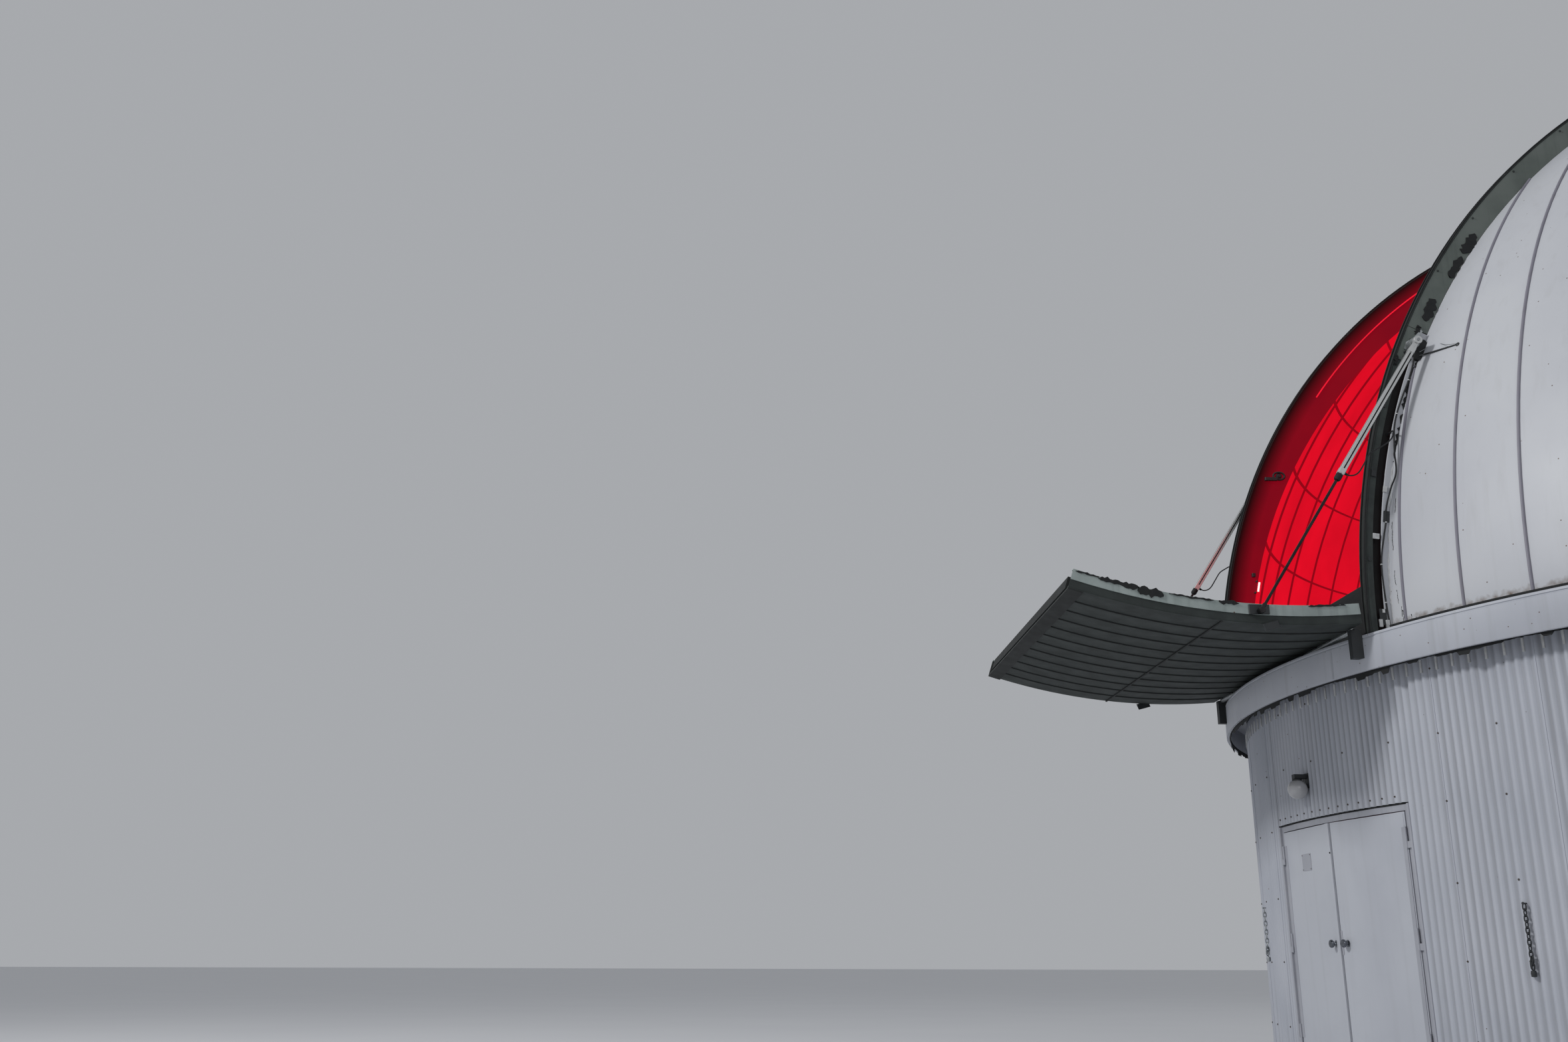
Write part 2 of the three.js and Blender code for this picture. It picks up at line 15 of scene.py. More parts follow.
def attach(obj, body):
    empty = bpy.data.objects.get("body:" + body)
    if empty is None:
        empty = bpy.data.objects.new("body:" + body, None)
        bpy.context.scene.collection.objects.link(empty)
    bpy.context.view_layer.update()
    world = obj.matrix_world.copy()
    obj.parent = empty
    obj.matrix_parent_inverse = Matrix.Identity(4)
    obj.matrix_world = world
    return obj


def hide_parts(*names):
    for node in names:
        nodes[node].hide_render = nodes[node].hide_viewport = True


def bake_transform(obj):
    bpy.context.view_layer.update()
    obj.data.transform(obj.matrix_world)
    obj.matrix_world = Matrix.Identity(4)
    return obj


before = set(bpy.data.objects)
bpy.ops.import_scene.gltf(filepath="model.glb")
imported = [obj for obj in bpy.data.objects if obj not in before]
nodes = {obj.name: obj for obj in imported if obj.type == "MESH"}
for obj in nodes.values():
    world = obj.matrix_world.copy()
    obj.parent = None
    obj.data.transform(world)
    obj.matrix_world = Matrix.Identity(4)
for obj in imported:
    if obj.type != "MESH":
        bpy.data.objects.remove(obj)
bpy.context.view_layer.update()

SIDES = ((1, "right"), (-1, "left"))
UP = np.array([0.0, 0.0, 1.0])
SIDEWAYS = np.array([1.0, 0.0, 0.0])

# Dome, ring and wall
DOME_R = 5.300
DOME_Z = 3.323
LINING_R = 5.264
RING_R = 5.475
RING_BOTTOM = 3.000
RING_TOP = 3.262
WALL_R = 5.280
WALL_FOOT = 0.060
WALL_TOP = 3.088

# Slit and arches
ARCH_IN = 1.503
ARCH_OUT = 1.573
ARCH_R_IN = 4.903
ARCH_R_OUT = 5.233
ARCH_FOOT_EL = -0.62
ARCH_END_EL = 180.62
COVER_EL = 26.9
COVER_END_EL = 176.0
LOW_COVER_EL = 23.6
LOW_COVER_R = 5.118
BAND_R = 5.172
DOME_EDGE_R = 5.061
ARC_STEP = 1.5

# Shutters
SHUTTER_R = 5.290
SHUTTER_T = 0.006
SHUTTER_HALF = 1.640
FLANGE_T = 0.040
FLANGE_R_IN = 5.150
CAP_R = 5.226
UPPER_EL = (100.0, 175.0)
LOWER_TIP_EL = 23.0
LOWER_FOOT_Z = 3.312
HINGE_Y = -5.305
HINGE_Z = 3.302
OPEN_ANGLE = math.radians(95.0)

# Entrance
DOOR_AZ = 6.0
LEAF_SPAN = 10.5
OPENING_TOP = 2.062
LEAF_R = 5.292
LEAF_LOW = 0.084
LEAF_HIGH = 2.010
DOOR_START = DOOR_AZ - LEAF_SPAN
DOOR_END = DOOR_AZ + LEAF_SPAN

# Rhythm of the sheets: gores on the dome, corrugations, laps and studs on the wall
GORES_A_SIDE = 26
FIRST_SEAM_AZ = 18.7
SEAM_STEP = (180 - 2 * FIRST_SEAM_AZ) / GORES_A_SIDE
PITCH_AZ = 360 / 492
PER_SHEET = 12
LAP_AZ = 20.3
STUDS = 66
RIB_LEVELS = (9.4, 18.6, 27.8, 37.0, 46.2, 55.4, 64.6)


# Mesh making

def shell(points, quads, caps=()):
    """A body as (points, loops, corner counts), with its faces turned outwards.

    The signed volume is the sum of a . (b x c) over every face's fan of triangles. Where it is below
    nought the whole list of loops is reversed, which turns every face round.
    """
    points = np.asarray(points, float).reshape(-1, 3)
    quads = np.asarray(quads, int).reshape(-1, 4)
    loops = np.concatenate([quads.ravel(), *[np.asarray(cap, int) for cap in caps]])
    counts = np.array([4] * len(quads) + [len(cap) for cap in caps])
    ends = np.cumsum(counts)
    after = np.arange(len(loops)) + 1
    after[ends - 1] = ends - counts
    placed = points - points.mean(0)
    first = placed[loops[np.repeat(ends - counts, counts)]]
    volume = np.einsum("ij,ij->", first, np.cross(placed[loops], placed[loops[after]]))
    order = -1 if volume < 0 else 1
    return points, loops[::order], counts[::order]


def together(made):
    """A list of shells as one: each one's loops move on by the number of points before it.

    A single shell is given back as it is, so the functions below take either.
    """
    if isinstance(made, tuple):
        return made
    points, loops, counts = zip(*made)
    starts = np.cumsum([0] + [len(part) for part in points[:-1]])
    moved = [part + start for part, start in zip(loops, starts)]
    return np.concatenate(points), np.concatenate(moved), np.concatenate(counts)


def on_side(made, side):
    """The shell itself for side 1, its mirror image in the slit's middle plane for side -1."""
    points, loops, counts = together(made)
    return points * (side, 1, 1), loops[::side], counts[::side]


def stamped(made, places, axes):
    """Copies of a small shell: each point becomes its place plus x, y and z times that place's axes."""
    points, loops, counts = made
    moved = np.einsum("pk,mkx->mpx", points, axes) + np.asarray(places)[:, None]
    starts = np.arange(len(moved)) * len(points)
    return moved.reshape(-1, 3), (loops[None] + starts[:, None]).ravel(), np.tile(counts, len(moved))


def new_object(name, data):
    """An object in the scene, at the origin."""
    made = bpy.data.objects.new(name, data)
    bpy.context.scene.collection.objects.link(made)
    return made


def put(name, made, finish, body=None, sharp=40.0, replaces=()):
    """Makes a mesh object of a shell, rides it on its body and hides the nodes it stands for.

    A piece that runs between two bodies is given no body here.
    """
    points, loops, counts = together(made)
    mesh = bpy.data.meshes.new(name)
    mesh.vertices.add(len(points))
    mesh.vertices.foreach_set("co", points.astype(np.float32).ravel())
    mesh.loops.add(len(loops))
    mesh.loops.foreach_set("vertex_index", loops.astype(np.int32))
    mesh.polygons.add(len(counts))
    mesh.polygons.foreach_set("loop_start", (np.cumsum(counts) - counts).astype(np.int32))
    mesh.polygons.foreach_set("use_smooth", np.ones(len(counts), bool))
    mesh.update(calc_edges=True)
    mesh.validate()
    mesh.set_sharp_from_angle(angle=math.radians(sharp))
    mesh.materials.append(finish)
    piece = new_object(name, mesh)
    if body:
        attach(piece, body)
    if replaces:
        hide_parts(*replaces)
    return piece


def put_pair(name, made, finish, body="dome", sharp=40.0, replaces=()):
    """Puts a piece on the right and its mirror image on the left."""
    for side, label in SIDES:
        put(name.format(label), on_side(made, side), finish, body.format(label), sharp,
            [node.format(label) for node in replaces])


def grid_quads(rows, columns, wrap_rows=False, wrap_columns=False):
    """Quads of a grid of points: row i, column j joins to its next row and next column."""
    i, j = np.meshgrid(np.arange(rows if wrap_rows else rows - 1),
                       np.arange(columns if wrap_columns else columns - 1), indexing="ij")
    i2, j2 = (i + 1) % rows, (j + 1) % columns
    quads = np.stack([i * columns + j, i2 * columns + j, i2 * columns + j2, i * columns + j2], -1)
    return quads.reshape(-1, 4)


def sheet_between(front, back):
    """A closed body between two grids of equal shape: front, reversed back and the four edges."""
    rows, columns = front.shape[:2]
    count = rows * columns
    quads = grid_quads(rows, columns)
    index = np.arange(count).reshape(rows, columns)
    rim = np.concatenate([index[:, 0], index[-1, 1:], index[-2::-1, -1], index[0, -2:0:-1]])
    after = np.roll(rim, -1)
    edge = np.stack([after, rim, rim + count, after + count], -1)
    points = np.concatenate([front.reshape(-1, 3), back.reshape(-1, 3)])
    return shell(points, np.concatenate([quads, quads[:, ::-1] + count, edge]))


def swept(sections, closed=False):
    """A closed body from sections, an array (path step, profile point, xyz) of closed loops.

    Neighbouring loops are joined by quads, and the two end loops are capped unless the path closes.
    """
    steps, count = sections.shape[:2]
    first = np.arange(count)
    last = first[::-1] + (steps - 1) * count
    return shell(sections, grid_quads(steps, count, closed, True), () if closed else (first, last))


def as_built(points):
    """Leaves points where they are, for a piece that isn't on the folded shutter."""
    return points


def lofted(corners, turn=as_built, closed=False):
    """A closed body from the paths that the corners of its profile run along."""
    return swept(turn(np.stack(corners, 1)), closed)


def on_wall(r, az, z):
    """The point at a plan radius, azimuth in degrees and height."""
    az = np.radians(az)
    return np.stack(np.broadcast_arrays(r * np.sin(az), -r * np.cos(az), z), -1)


def on_dome(r, az, el):
    """The point at radius r from the dome's centre, at an azimuth and an elevation in degrees."""
    el = np.radians(el)
    return on_wall(r * np.cos(el), az, DOME_Z + r * np.sin(el))


def on_arc(x, r, el):
    """The point at x beside the slit's middle, at radius r and elevation el in the vertical plane."""
    el = np.radians(el)
    return np.stack(np.broadcast_arrays(x, -r * np.cos(el), DOME_Z + r * np.sin(el)), -1)


def wall_axes(az):
    """Axes at azimuths on the wall: outwards, along the wall and up."""
    az = np.asarray(az, float)
    out = on_wall(1.0, az, 0.0)
    along = np.stack([-out[..., 1], out[..., 0], 0 * az], -1)
    return np.stack([out, along, 0 * out + UP], -2)


def round_wall(made, r, az, z):
    """Copies of a small shell round the wall's axis, each with its x turned outwards."""
    return stamped(made, on_wall(r, az, z), wall_axes(az))


def fold_out(points):
    """Turns points of the shut lower shutter about its hinge line to the open pose."""
    x, y, z = np.moveaxis(np.asarray(points, float), -1, 0)
    y, z = y - HINGE_Y, z - HINGE_Z
    c, s = math.cos(OPEN_ANGLE), math.sin(OPEN_ANGLE)
    return np.stack([x, y * c - z * s + HINGE_Y, y * s + z * c + HINGE_Z], -1)


def degrees_of(length, radius):
    """The angle, in degrees, of an arc's length at a radius."""
    return math.degrees(length / radius)


def full_turn(count):
    """Evenly spaced angles round a circle."""
    return np.linspace(0, 2 * np.pi, count, endpoint=False)


def unit(vectors):
    """Vectors with their length brought to one."""
    return vectors / np.linalg.norm(vectors, axis=-1, keepdims=True)


def four_corners(x0, x1, r0, r1):
    """The corners of a rectangle, in order round it."""
    return (x0, r0), (x1, r0), (x1, r1), (x0, r1)


def folded_strip(x0, x1, r0, r1, cut=0.002, rise=None):
    """The (x, r) profile of a folded strip: a rectangle, its corners cut along x and by a rise in r."""
    rise = cut if rise is None else rise
    return np.array([(x0 + cut, r0), (x1 - cut, r0), (x1, r0 + rise), (x1, r1 - rise),
                     (x1 - cut, r1), (x0 + cut, r1), (x0, r1 - rise), (x0, r0 + rise)])


def along_arc(profile, el, turn=as_built):
    """Carries a closed (x, r) profile along a vertical arc: y = -r cos el, z = r sin el above the centre."""
    return lofted([on_arc(x, r, el) for x, r in profile], turn)


def arc_sweep(profile, el0, el1, turn=as_built):
    """Carries a profile along an arc between two elevations, in even steps of about ARC_STEP."""
    return along_arc(profile, np.linspace(el0, el1, max(2, int(abs(el1 - el0) / ARC_STEP) + 1)), turn)


def torn_strips(x0, x1, first_seed, rows, turn=as_built):
    """Torn strips along arcs: both edges wander by seeded noise and close in at the ends.

    Each row is the inner and outer radius, the two elevations and how far the edges wander.
    """
    made = []
    for seed, (r0, r1, el0, el1, fray) in enumerate(rows, first_seed):
        rng = np.random.default_rng(seed)
        count = max(9, int((el1 - el0) * 5))
        el = np.linspace(el0, el1, count)
        full = np.sin(np.linspace(0, np.pi, count)) ** 0.3 + 0.08
        middle, half = (r0 + r1) / 2, (r1 - r0) / 2 * np.minimum(full, 1)
        low = middle - half + fray * rng.uniform(-1, 1, count)
        high = middle + half + fray * rng.uniform(-1, 1, count)
        curl = x1 + 0.4 * fray * rng.uniform(-1, 1, count)
        made.append(along_arc(four_corners(x0, curl, low, high), el, turn))
    return made


def arch_plate(corners, x0, x1):
    """A flat plate on an arch's side: an outline of (r, el) corners carried from x0 to x1."""
    r, el = np.array(corners, float).T
    return swept(np.stack([on_arc(x0, r, el), on_arc(x1, r, el)]))


def lathe(profile, az0=0.0, az1=360.0, count=361):
    """Carries a closed (plan radius, height) profile round the wall's axis."""
    full = abs(az1 - az0) >= 360
    az = np.linspace(az0, az1, count)
    return lofted([on_wall(r, az[:-1] if full else az, z) for r, z in profile], closed=full)


def tube(path, radius, sides=10, closed=False):
    """A round tube: at each point of the path, a ring p + radius (u cos a + v sin a) square to it."""
    path = np.asarray(path, float)
    ahead = unit(np.roll(path, -1, 0) - np.roll(path, 1, 0) if closed else np.gradient(path, axis=0))
    u = unit(np.cross(ahead, np.eye(3)[np.argmin(np.abs(ahead).sum(0))]))
    v = np.cross(ahead, u)
    a = full_turn(sides)[None, :, None]
    return swept(path[:, None] + radius * (np.cos(a) * u[:, None] + np.sin(a) * v[:, None]), closed)


def smooth_path(points, per_span=8):
    """A curve through points: on each span, the cubic set by its four nearest points."""
    p = np.asarray(points, float)
    p = np.concatenate([[2 * p[0] - p[1]], p, [2 * p[-1] - p[-2]]])
    t = np.linspace(0, 1, per_span, endpoint=False)[:, None]
    a, b, c, d = (p[k:len(p) - 3 + k, None] for k in range(4))
    curve = 0.5 * (2 * b + (c - a) * t + (2 * a - 5 * b + 4 * c - d) * t**2
                   + (3 * b - a - 3 * c + d) * t**3)
    return np.concatenate([curve.reshape(-1, 3), p[-2:-1]])


def turned(profile, origin=(0, 0, 0), axis=SIDEWAYS, sides=32):
    """A body of revolution: (radius, height) points carried round an axis from an origin."""
    axis = unit(np.asarray(axis, float))
    u = unit(np.cross(axis, np.eye(3)[np.argmin(np.abs(axis))]))
    a = full_turn(sides)[:, None]
    ring = np.cos(a) * u + np.sin(a) * np.cross(axis, u)
    return swept(np.stack([origin + height * axis + r * ring for r, height in profile]))


def block(corner, u, v, w, edge=0.002):
    """A box with cut long edges: from a corner along three edge vectors, w the long one."""
    corner, u, v, w = (np.asarray(a, float) for a in (corner, u, v, w))
    loop = folded_strip(0, 1, 0, 1, edge / np.linalg.norm(u), edge / np.linalg.norm(v))
    section = corner + loop[:, :1] * u + loop[:, 1:] * v
    return swept(np.stack([section, section + w]))


def box(corner, x, y, z, edge=0.002):
    """A block square to the axes, its cut edges along z."""
    return block(corner, (x, 0, 0), (0, y, 0), (0, 0, z), edge)


# Finishes

def srgb(code):
    """An sRGB hex colour as linear RGBA."""
    values = [int(code[i:i + 2], 16) / 255 for i in (0, 2, 4)]
    linear = [v / 12.92 if v <= 0.04045 else ((v + 0.055) / 1.055) ** 2.4 for v in values]
    return (*linear, 1.0)


def feed(tree, node, inputs):
    """Links a node's inputs to outputs of others, or sets them: text is a hex colour."""
    for key, value in inputs.items():
        if isinstance(value, bpy.types.NodeSocket):
            tree.links.new(value, node.inputs[key])
        else:
            node.inputs[key].default_value = srgb(value) if isinstance(value, str) else value


def add(tree, kind, output, inputs, **settings):
    """Adds a node with its settings and inputs, and gives back the output that is wanted of it."""
    made = tree.nodes.new("ShaderNode" + kind)
    for key, value in settings.items():
        setattr(made, key, value)
    feed(tree, made, inputs)
    return made.outputs[output]


def new_finish(name, rough=0.5, metallic=0.0):
    """A material with its shader's even values set, and the object coordinates that patterns read."""
    material = bpy.data.materials.new(name)
    material.use_nodes = True
    tree = material.node_tree
    shader = tree.nodes["Principled BSDF"]
    feed(tree, shader, {"Roughness": rough, "Metallic": metallic})
    return material, tree, shader, add(tree, "TexCoord", "Object", {})


def coat(tree, under, tone, value, low, high, least=0.0, most=1.0):
    """A colour covered by a tone: by least where a value is at low or below, by most where at high."""
    cover = add(tree, "MapRange", "Result", {"Value": value, "From Min": low, "From Max": high,
                                             "To Min": least, "To Max": most})
    return add(tree, "Mix", "Result", {"Factor": cover, "A": under, "B": tone}, data_type="RGBA")


def plane_radius(tree, place, kept, centre=(0.0, 0.0, 0.0)):
    """The distance from a centre, measured in the plane of the axes that are kept."""
    flat = add(tree, "Mapping", "Vector", {"Vector": place, "Location": centre, "Scale": kept})
    return add(tree, "VectorMath", "Value", {0: flat}, operation="LENGTH")


def weathered(name, tones, rough=0.5, metallic=0.0, patch=1.2, runs=0.25, dots=None, foot=None,
              grain=900.0, dent=0.0004, buckle=None, groove_shade=None):
    """Aged sheet: two tones in soft patches, dirt runs, rust dots, a dirty foot and a fine grain.

    tones are three hex colours: the base, its second shade and the dirt.
    Scales are counts to the metre, so 1.2 is patches of about 0.8 m, and 900 is a chalk or scratch
    grain of 1.1 mm, which only softens the highlight. A grain below 400 is coarser than the real one,
    to show. dots is how many and their radius, foot its tone, height and rise, buckle its waves and
    their depth, and groove_shade the plan radii over which a painted shade in a corrugation's hollow,
    in the dirt tone, fades out.
    """
    base, shade, dirt = tones.split()
    material, tree, shader, place = new_finish(name, rough, metallic)
    patches = add(tree, "TexNoise", "Fac", {"Vector": place, "Scale": patch, "Detail": 5.0})
    colour = coat(tree, base, shade, patches, 0.35, 0.68)
    # Dirt runs 70 mm apart and 1.4 m long
    tall = add(tree, "Mapping", "Vector", {"Vector": place, "Scale": (14.0, 14.0, 0.7)})
    run = add(tree, "TexNoise", "Fac", {"Vector": tall, "Scale": 1.0, "Detail": 4.0})
    colour = coat(tree, colour, dirt, run, 0.55, 0.78, 0.0, runs)
    if foot:
        # Splashed dirt that fades upwards, broken up by noise of 45 mm
        splashed, foot_z, rise = foot
        height = add(tree, "SeparateXYZ", "Z", {"Vector": place})
        low = add(tree, "MapRange", "Result", {"Value": height, "From Min": foot_z,
                                               "From Max": foot_z + rise, "To Min": 1.0, "To Max": 0.0})
        breaks = add(tree, "TexNoise", "Fac", {"Vector": place, "Scale": 22.0, "Detail": 8.0})
        patchy = add(tree, "Math", "Value", {0: low, 1: breaks}, operation="MULTIPLY")
        colour = coat(tree, colour, splashed, patchy, 0.22, 0.52)
    if dots:
        # Rust dots about the cells' points, where the sheet passes close to them
        per_metre, size = dots
        cells = add(tree, "TexVoronoi", "Distance", {"Vector": place, "Scale": per_metre})
        colour = coat(tree, colour, "5B4436", cells, size * per_metre * 0.6, size * per_metre, 1.0, 0.0)
    # Painted shade in the corrugations' hollows, in the dirt tone, fading out towards the crests
    if groove_shade:
        colour = coat(tree, colour, dirt, plane_radius(tree, place, (1.0, 1.0, 0.0)), *groove_shade, 0.55, 0.0)
    uneven = add(tree, "MapRange", "Result",
                 {"Value": patches, "To Min": rough - 0.08, "To Max": rough + 0.14})
    fine = add(tree, "TexNoise", "Fac", {"Vector": place, "Scale": grain, "Detail": 2.0})
    bump = {"Height": fine, "Distance": dent, "Strength": 0.12}
    if buckle:
        waves = add(tree, "TexNoise", "Fac", {"Vector": place, "Scale": buckle[0], "Detail": 1.0})
        bump["Normal"] = add(tree, "Bump", "Normal",
                             {"Height": waves, "Distance": buckle[1], "Strength": 0.5})
    normal = add(tree, "Bump", "Normal", bump)
    feed(tree, shader, {"Base Color": colour, "Roughness": uneven, "Normal": normal})
    return material


# Painted corrugated steel: a cool off-white chalky coat, with rain runs, a splashed foot and painted shade in
# the corrugations' hollows
WALL_SHEET = weathered("painted_corrugated_steel", "B9BCC4 ADB1BA 7C7D82", rough=0.52, runs=0.30,
                       dots=(7.0, 0.005), foot=("7A7067", 0.0, 0.5), groove_shade=(WALL_R + 0.003, WALL_R + 0.013))
# Pressed dome gores: the same coat, cleaner, slightly buckled, with brown dirt where they meet the ring
DOME_SHEET = weathered("painted_dome_gores", "C2C4C8 B8BAC0 9C9B9A", rough=0.46, runs=0.16, patch=0.8,
                       dots=(9.5, 0.006), foot=("6F6156", 3.292, 0.12), buckle=(1.6, 0.012))
# Folded standing seams, painted greyer than the gores as painted shade in their lee
SEAM_SHADED_SHEET = weathered("standing_seams_painted_shade", "87858F 7B7984 645F62", rough=0.55, runs=0.4)
# Rolled ring sheet: the same coat, a shade darker and buckled between its laps
RING_SHEET = weathered("painted_ring_sheet", "B8BBC2 AEB1B9 8E8D8D", rough=0.47, runs=0.3, patch=1.6,
                       dots=(14.0, 0.0055), buckle=(2.2, 0.006))
# Grey-green chalked paint on the arches' covers, and darker copies of it as painted shade where the arches
# lie in the slit's shade: green on the rim and under the cover, black in the recess
ARCH_PAINT = weathered("chalked_green_paint", "666D68 575F5A 39403C", rough=0.62, patch=4.0, runs=0.5,
                       dots=(7.0, 0.008))
ARCH_SHADED_GREEN = weathered("green_paint_painted_shade", "2B302E 1F2422 131615", rough=0.6, patch=9.0, runs=0.5)
ARCH_BAND_SHADED = weathered("mottled_green_paint_painted_shade", "353D3A 232928 141817", rough=0.62, patch=7.0, runs=0.7)
ARCH_RECESS_SHADE = weathered("black_paint_painted_shade", "0F1112 0A0C0D 050606", rough=0.75, patch=9.0, runs=0.2)
# Pale chalked paint on the caps of the shutters' edges
CAP_PAINT = weathered("chalked_pale_green_paint", "A0AAA7 8D9794 5C6562", rough=0.6, patch=5.0, runs=0.5,
                      dots=(9.0, 0.007))
# Green painted sheet of the shutters, darkened as painted shade of the underside: matt, mottled and rough to
# the touch; a still darker copy, painted shade too, for seams, joints and the tip
SHUTTER_SHADED_PAINT = weathered("mottled_green_sheet_painted_shade", "303735 252B29 191D1C", rough=0.66, patch=6.0,
                          runs=0.4, grain=320.0, dent=0.003)
SHUTTER_DARKER_SHADE = weathered("mottled_dark_sheet_painted_shade", "1C201F 161918 0E1010", rough=0.7, patch=7.0)
# Black rubber, dull and slightly dusty
RUBBER = weathered("black_rubber", "101213 1A1C1D 2B2B28", rough=0.75, patch=8.0, runs=0.2)
# Dark painted steel of small fittings: an even satin
DARK_STEEL = weathered("dark_painted_steel", "2B2E30 232628 191B1C", rough=0.5, patch=5.0)
# Hot-dip galvanised steel: metallic with a dull spangle
GALVANISED = weathered("galvanised_steel", "B2B6B7 A0A4A6 7A7E80", rough=0.45, metallic=1.0,
                       patch=14.0, grain=200.0, dent=0.0003)
# Ground steel rod under old oil: dark, with a soft shine
ROD_STEEL = weathered("oily_steel_rod", "3F3D3E 333132 242323", rough=0.36, metallic=1.0, patch=12.0,
                      grain=200.0, dent=0.0002)
# Anodised aluminium profile: a pale metal with a soft, even sheen
ALUMINIUM = weathered("anodised_aluminium_profile", "D2D3D2 C8C9C8 A4A6A8", rough=0.42, metallic=1.0,
                      patch=3.0, runs=0.15, grain=160.0, dent=0.0002)
# Enamelled steel: smoother and evener than the sheets, the frame greyer than the leaves
DOOR_PAINT = weathered("enamelled_steel_door", "BCBFC6 B3B6BE 96979A", rough=0.44, runs=0.12, patch=1.6,
                       foot=("7D7670", 0.06, 0.35))
FRAME_PAINT = weathered("enamelled_steel_frame", "AAACB3 9D9FA7 7C7C80", rough=0.47, runs=0.3, patch=2.5)
# White joint sealant, cracked and lifting, with dirt in its cracks
SEALANT = weathered("cracked_white_sealant", "D2D3D3 B9BABA 56524E", rough=0.7, patch=24.0, runs=0.6,
                    grain=240.0, dent=0.004)
# Painted board and trowelled concrete inside: matt and dusty
BOARD = weathered("painted_board_lining", "A7A39B 9A968D 817D75", rough=0.7, patch=1.5)
CONCRETE = weathered("trowelled_concrete", "8F8C86 807D77 6C6963", rough=0.85, patch=2.2, grain=350.0,
                     dent=0.004)
# Chromed brass knobs, darkened as a painted reflection of dark surroundings, with a sharp highlight
CHROME_DARK_REFLECTING = weathered("chromed_brass_painted_dark_reflection", "7C7F85 6B6E74 4B4E53", rough=0.16, metallic=1.0, patch=40.0,
                   grain=200.0, dent=0.0002)
# Plastic sheath of the cables and hoses: near black, dusted grey
CABLE_SHEATH = weathered("black_cable_sheath", "1A1B1D 262729 3A3936", rough=0.6, patch=14.0)
# Screw heads under a film of rust: dull brown-grey specks
SCREW_STEEL = weathered("rust_stained_screws", "544C45 463F39 332D28", rough=0.6, patch=30.0)


def lit_red(name, paint, glow, strength, fade=None):
    """Red paint under red lamps: the lamps' light is held as a soft glow of its own.

    The paint is worn in patches of about 1.1 m and the light lies in pools of about 0.5 m. fade is
    (inner radius, outer radius, colour): beyond the first radius in the slit's plane the glow falls to
    that colour at the second.
    """
    material, tree, shader, place = new_finish(name, 0.65)
    wear, pools = (add(tree, "TexNoise", "Fac", {"Vector": place, "Scale": scale, "Detail": 4.0})
                   for scale in (0.9, 2.0))
    lit = coat(tree, glow, "A00A18", pools, 0.3, 0.8, 0.0, 0.35)
    if fade:
        radius = plane_radius(tree, place, (0.0, 1.0, 1.0), (0.0, 0.0, -DOME_Z))
        lit = coat(tree, lit, fade[2], radius, fade[0], fade[1])
    feed(tree, shader, {"Base Color": coat(tree, paint, "2A0306", wear, 0.35, 0.7), "Emission Color": lit,
                        "Emission Strength": strength, "Specular IOR Level": 0.1})
    return material


# Red paint in red light, held as a glow: bright on the lining, darker on the ribs and the arch's inner plates
# as painted shade, and fading out across the arch's plate
RED_LINING = lit_red("red_lit_lining", "7A0611", "F5102A", 0.80)
RED_RIB_SHADED = lit_red("red_lit_ribs_painted_shade", "2A0206", "8C0818", 0.9)
RED_PLATE = lit_red("red_lit_arch_plate", "0A0102", "7E0418", 0.9, (5.06, 5.21, "1E0204"))
RED_EDGE = lit_red("red_lit_angle", "7A0611", "F01C34", 1.0)


def clouded(name, rough, scale, tones, fed="Base Color", even=None):
    """Two hex tones in soft patches, fed to one of the shader's inputs, with even values for others.

    scale counts the patches to the metre, so 18 is a faint cloud of 55 mm.
    """
    material, tree, shader, place = new_finish(name, rough)
    cloud = add(tree, "TexNoise", "Fac", {"Vector": place, "Scale": scale, "Detail": 4.0})
    light, dark = tones.split()
    colour = add(tree, "Mix", "Result", {"Factor": cloud, "A": light, "B": dark}, data_type="RGBA")
    feed(tree, shader, {fed: colour, **(even or {})})
    return material


# Opal glass: a greyed white body with a clear glossy skin
OPAL = clouded("opal_glass", 0.14, 18.0, "B7B7B9 A3A3A5", even={"Coat Weight": 0.6})
# A lamp tube that is switched on: white glass with its own light
TUBE_GLASS = clouded("lit_glass_tube", 0.3, 30.0, "FFF1EC F2C9C2", "Emission Color",
                     {"Emission Strength": 1.0})
# A pale matt floor under the building
PALE_FLOOR = clouded("pale_studio_floor", 0.85, 0.4, "D9DADC D3D4D7")


# Dome shell and lining

EDGE_X = ARCH_OUT + 0.001
SKIN_T = 0.012
LINING_T = 0.006
SEAM_HALF = 0.0105
SEAM_PROUD = 0.013
SEAM_CROWN = 0.006
RIB_OUT = LINING_R - 0.0005
RIB_HALF = 0.0035
RIB_DEEP = 0.020
BAR_HALF = 0.009
CRACK_HALF = 0.0030
CRACK_LOW, CRACK_HIGH = -0.001, 0.0012
CRACK_WANDER = 0.035


def half_shell(r_in, r_out, columns, rows):
    """The part of a dome's sheet beyond the arch's plane, from the ring up, between two radii.

    Each column is a meridian, and its top is where r cos el sin az comes down to that plane's x.
    """
    faces = []
    for r in (r_out, r_in):
        az0 = math.degrees(math.asin(min(1.0, EDGE_X / r * 1.0003)))
        az = 90 - (90 - az0) * np.cos(np.pi * np.linspace(0, 1, columns))
        foot = math.degrees(math.asin((RING_TOP + 0.0005 - DOME_Z) / r))
        top = np.degrees(np.arccos(np.clip(EDGE_X / (r * np.sin(np.radians(az))), -1, 1)))
        rise = np.maximum(top, foot + 0.02) - foot
        faces.append(on_dome(r, az[:, None], foot + rise[:, None] * np.linspace(0, 1, rows)))
    return sheet_between(*faces)


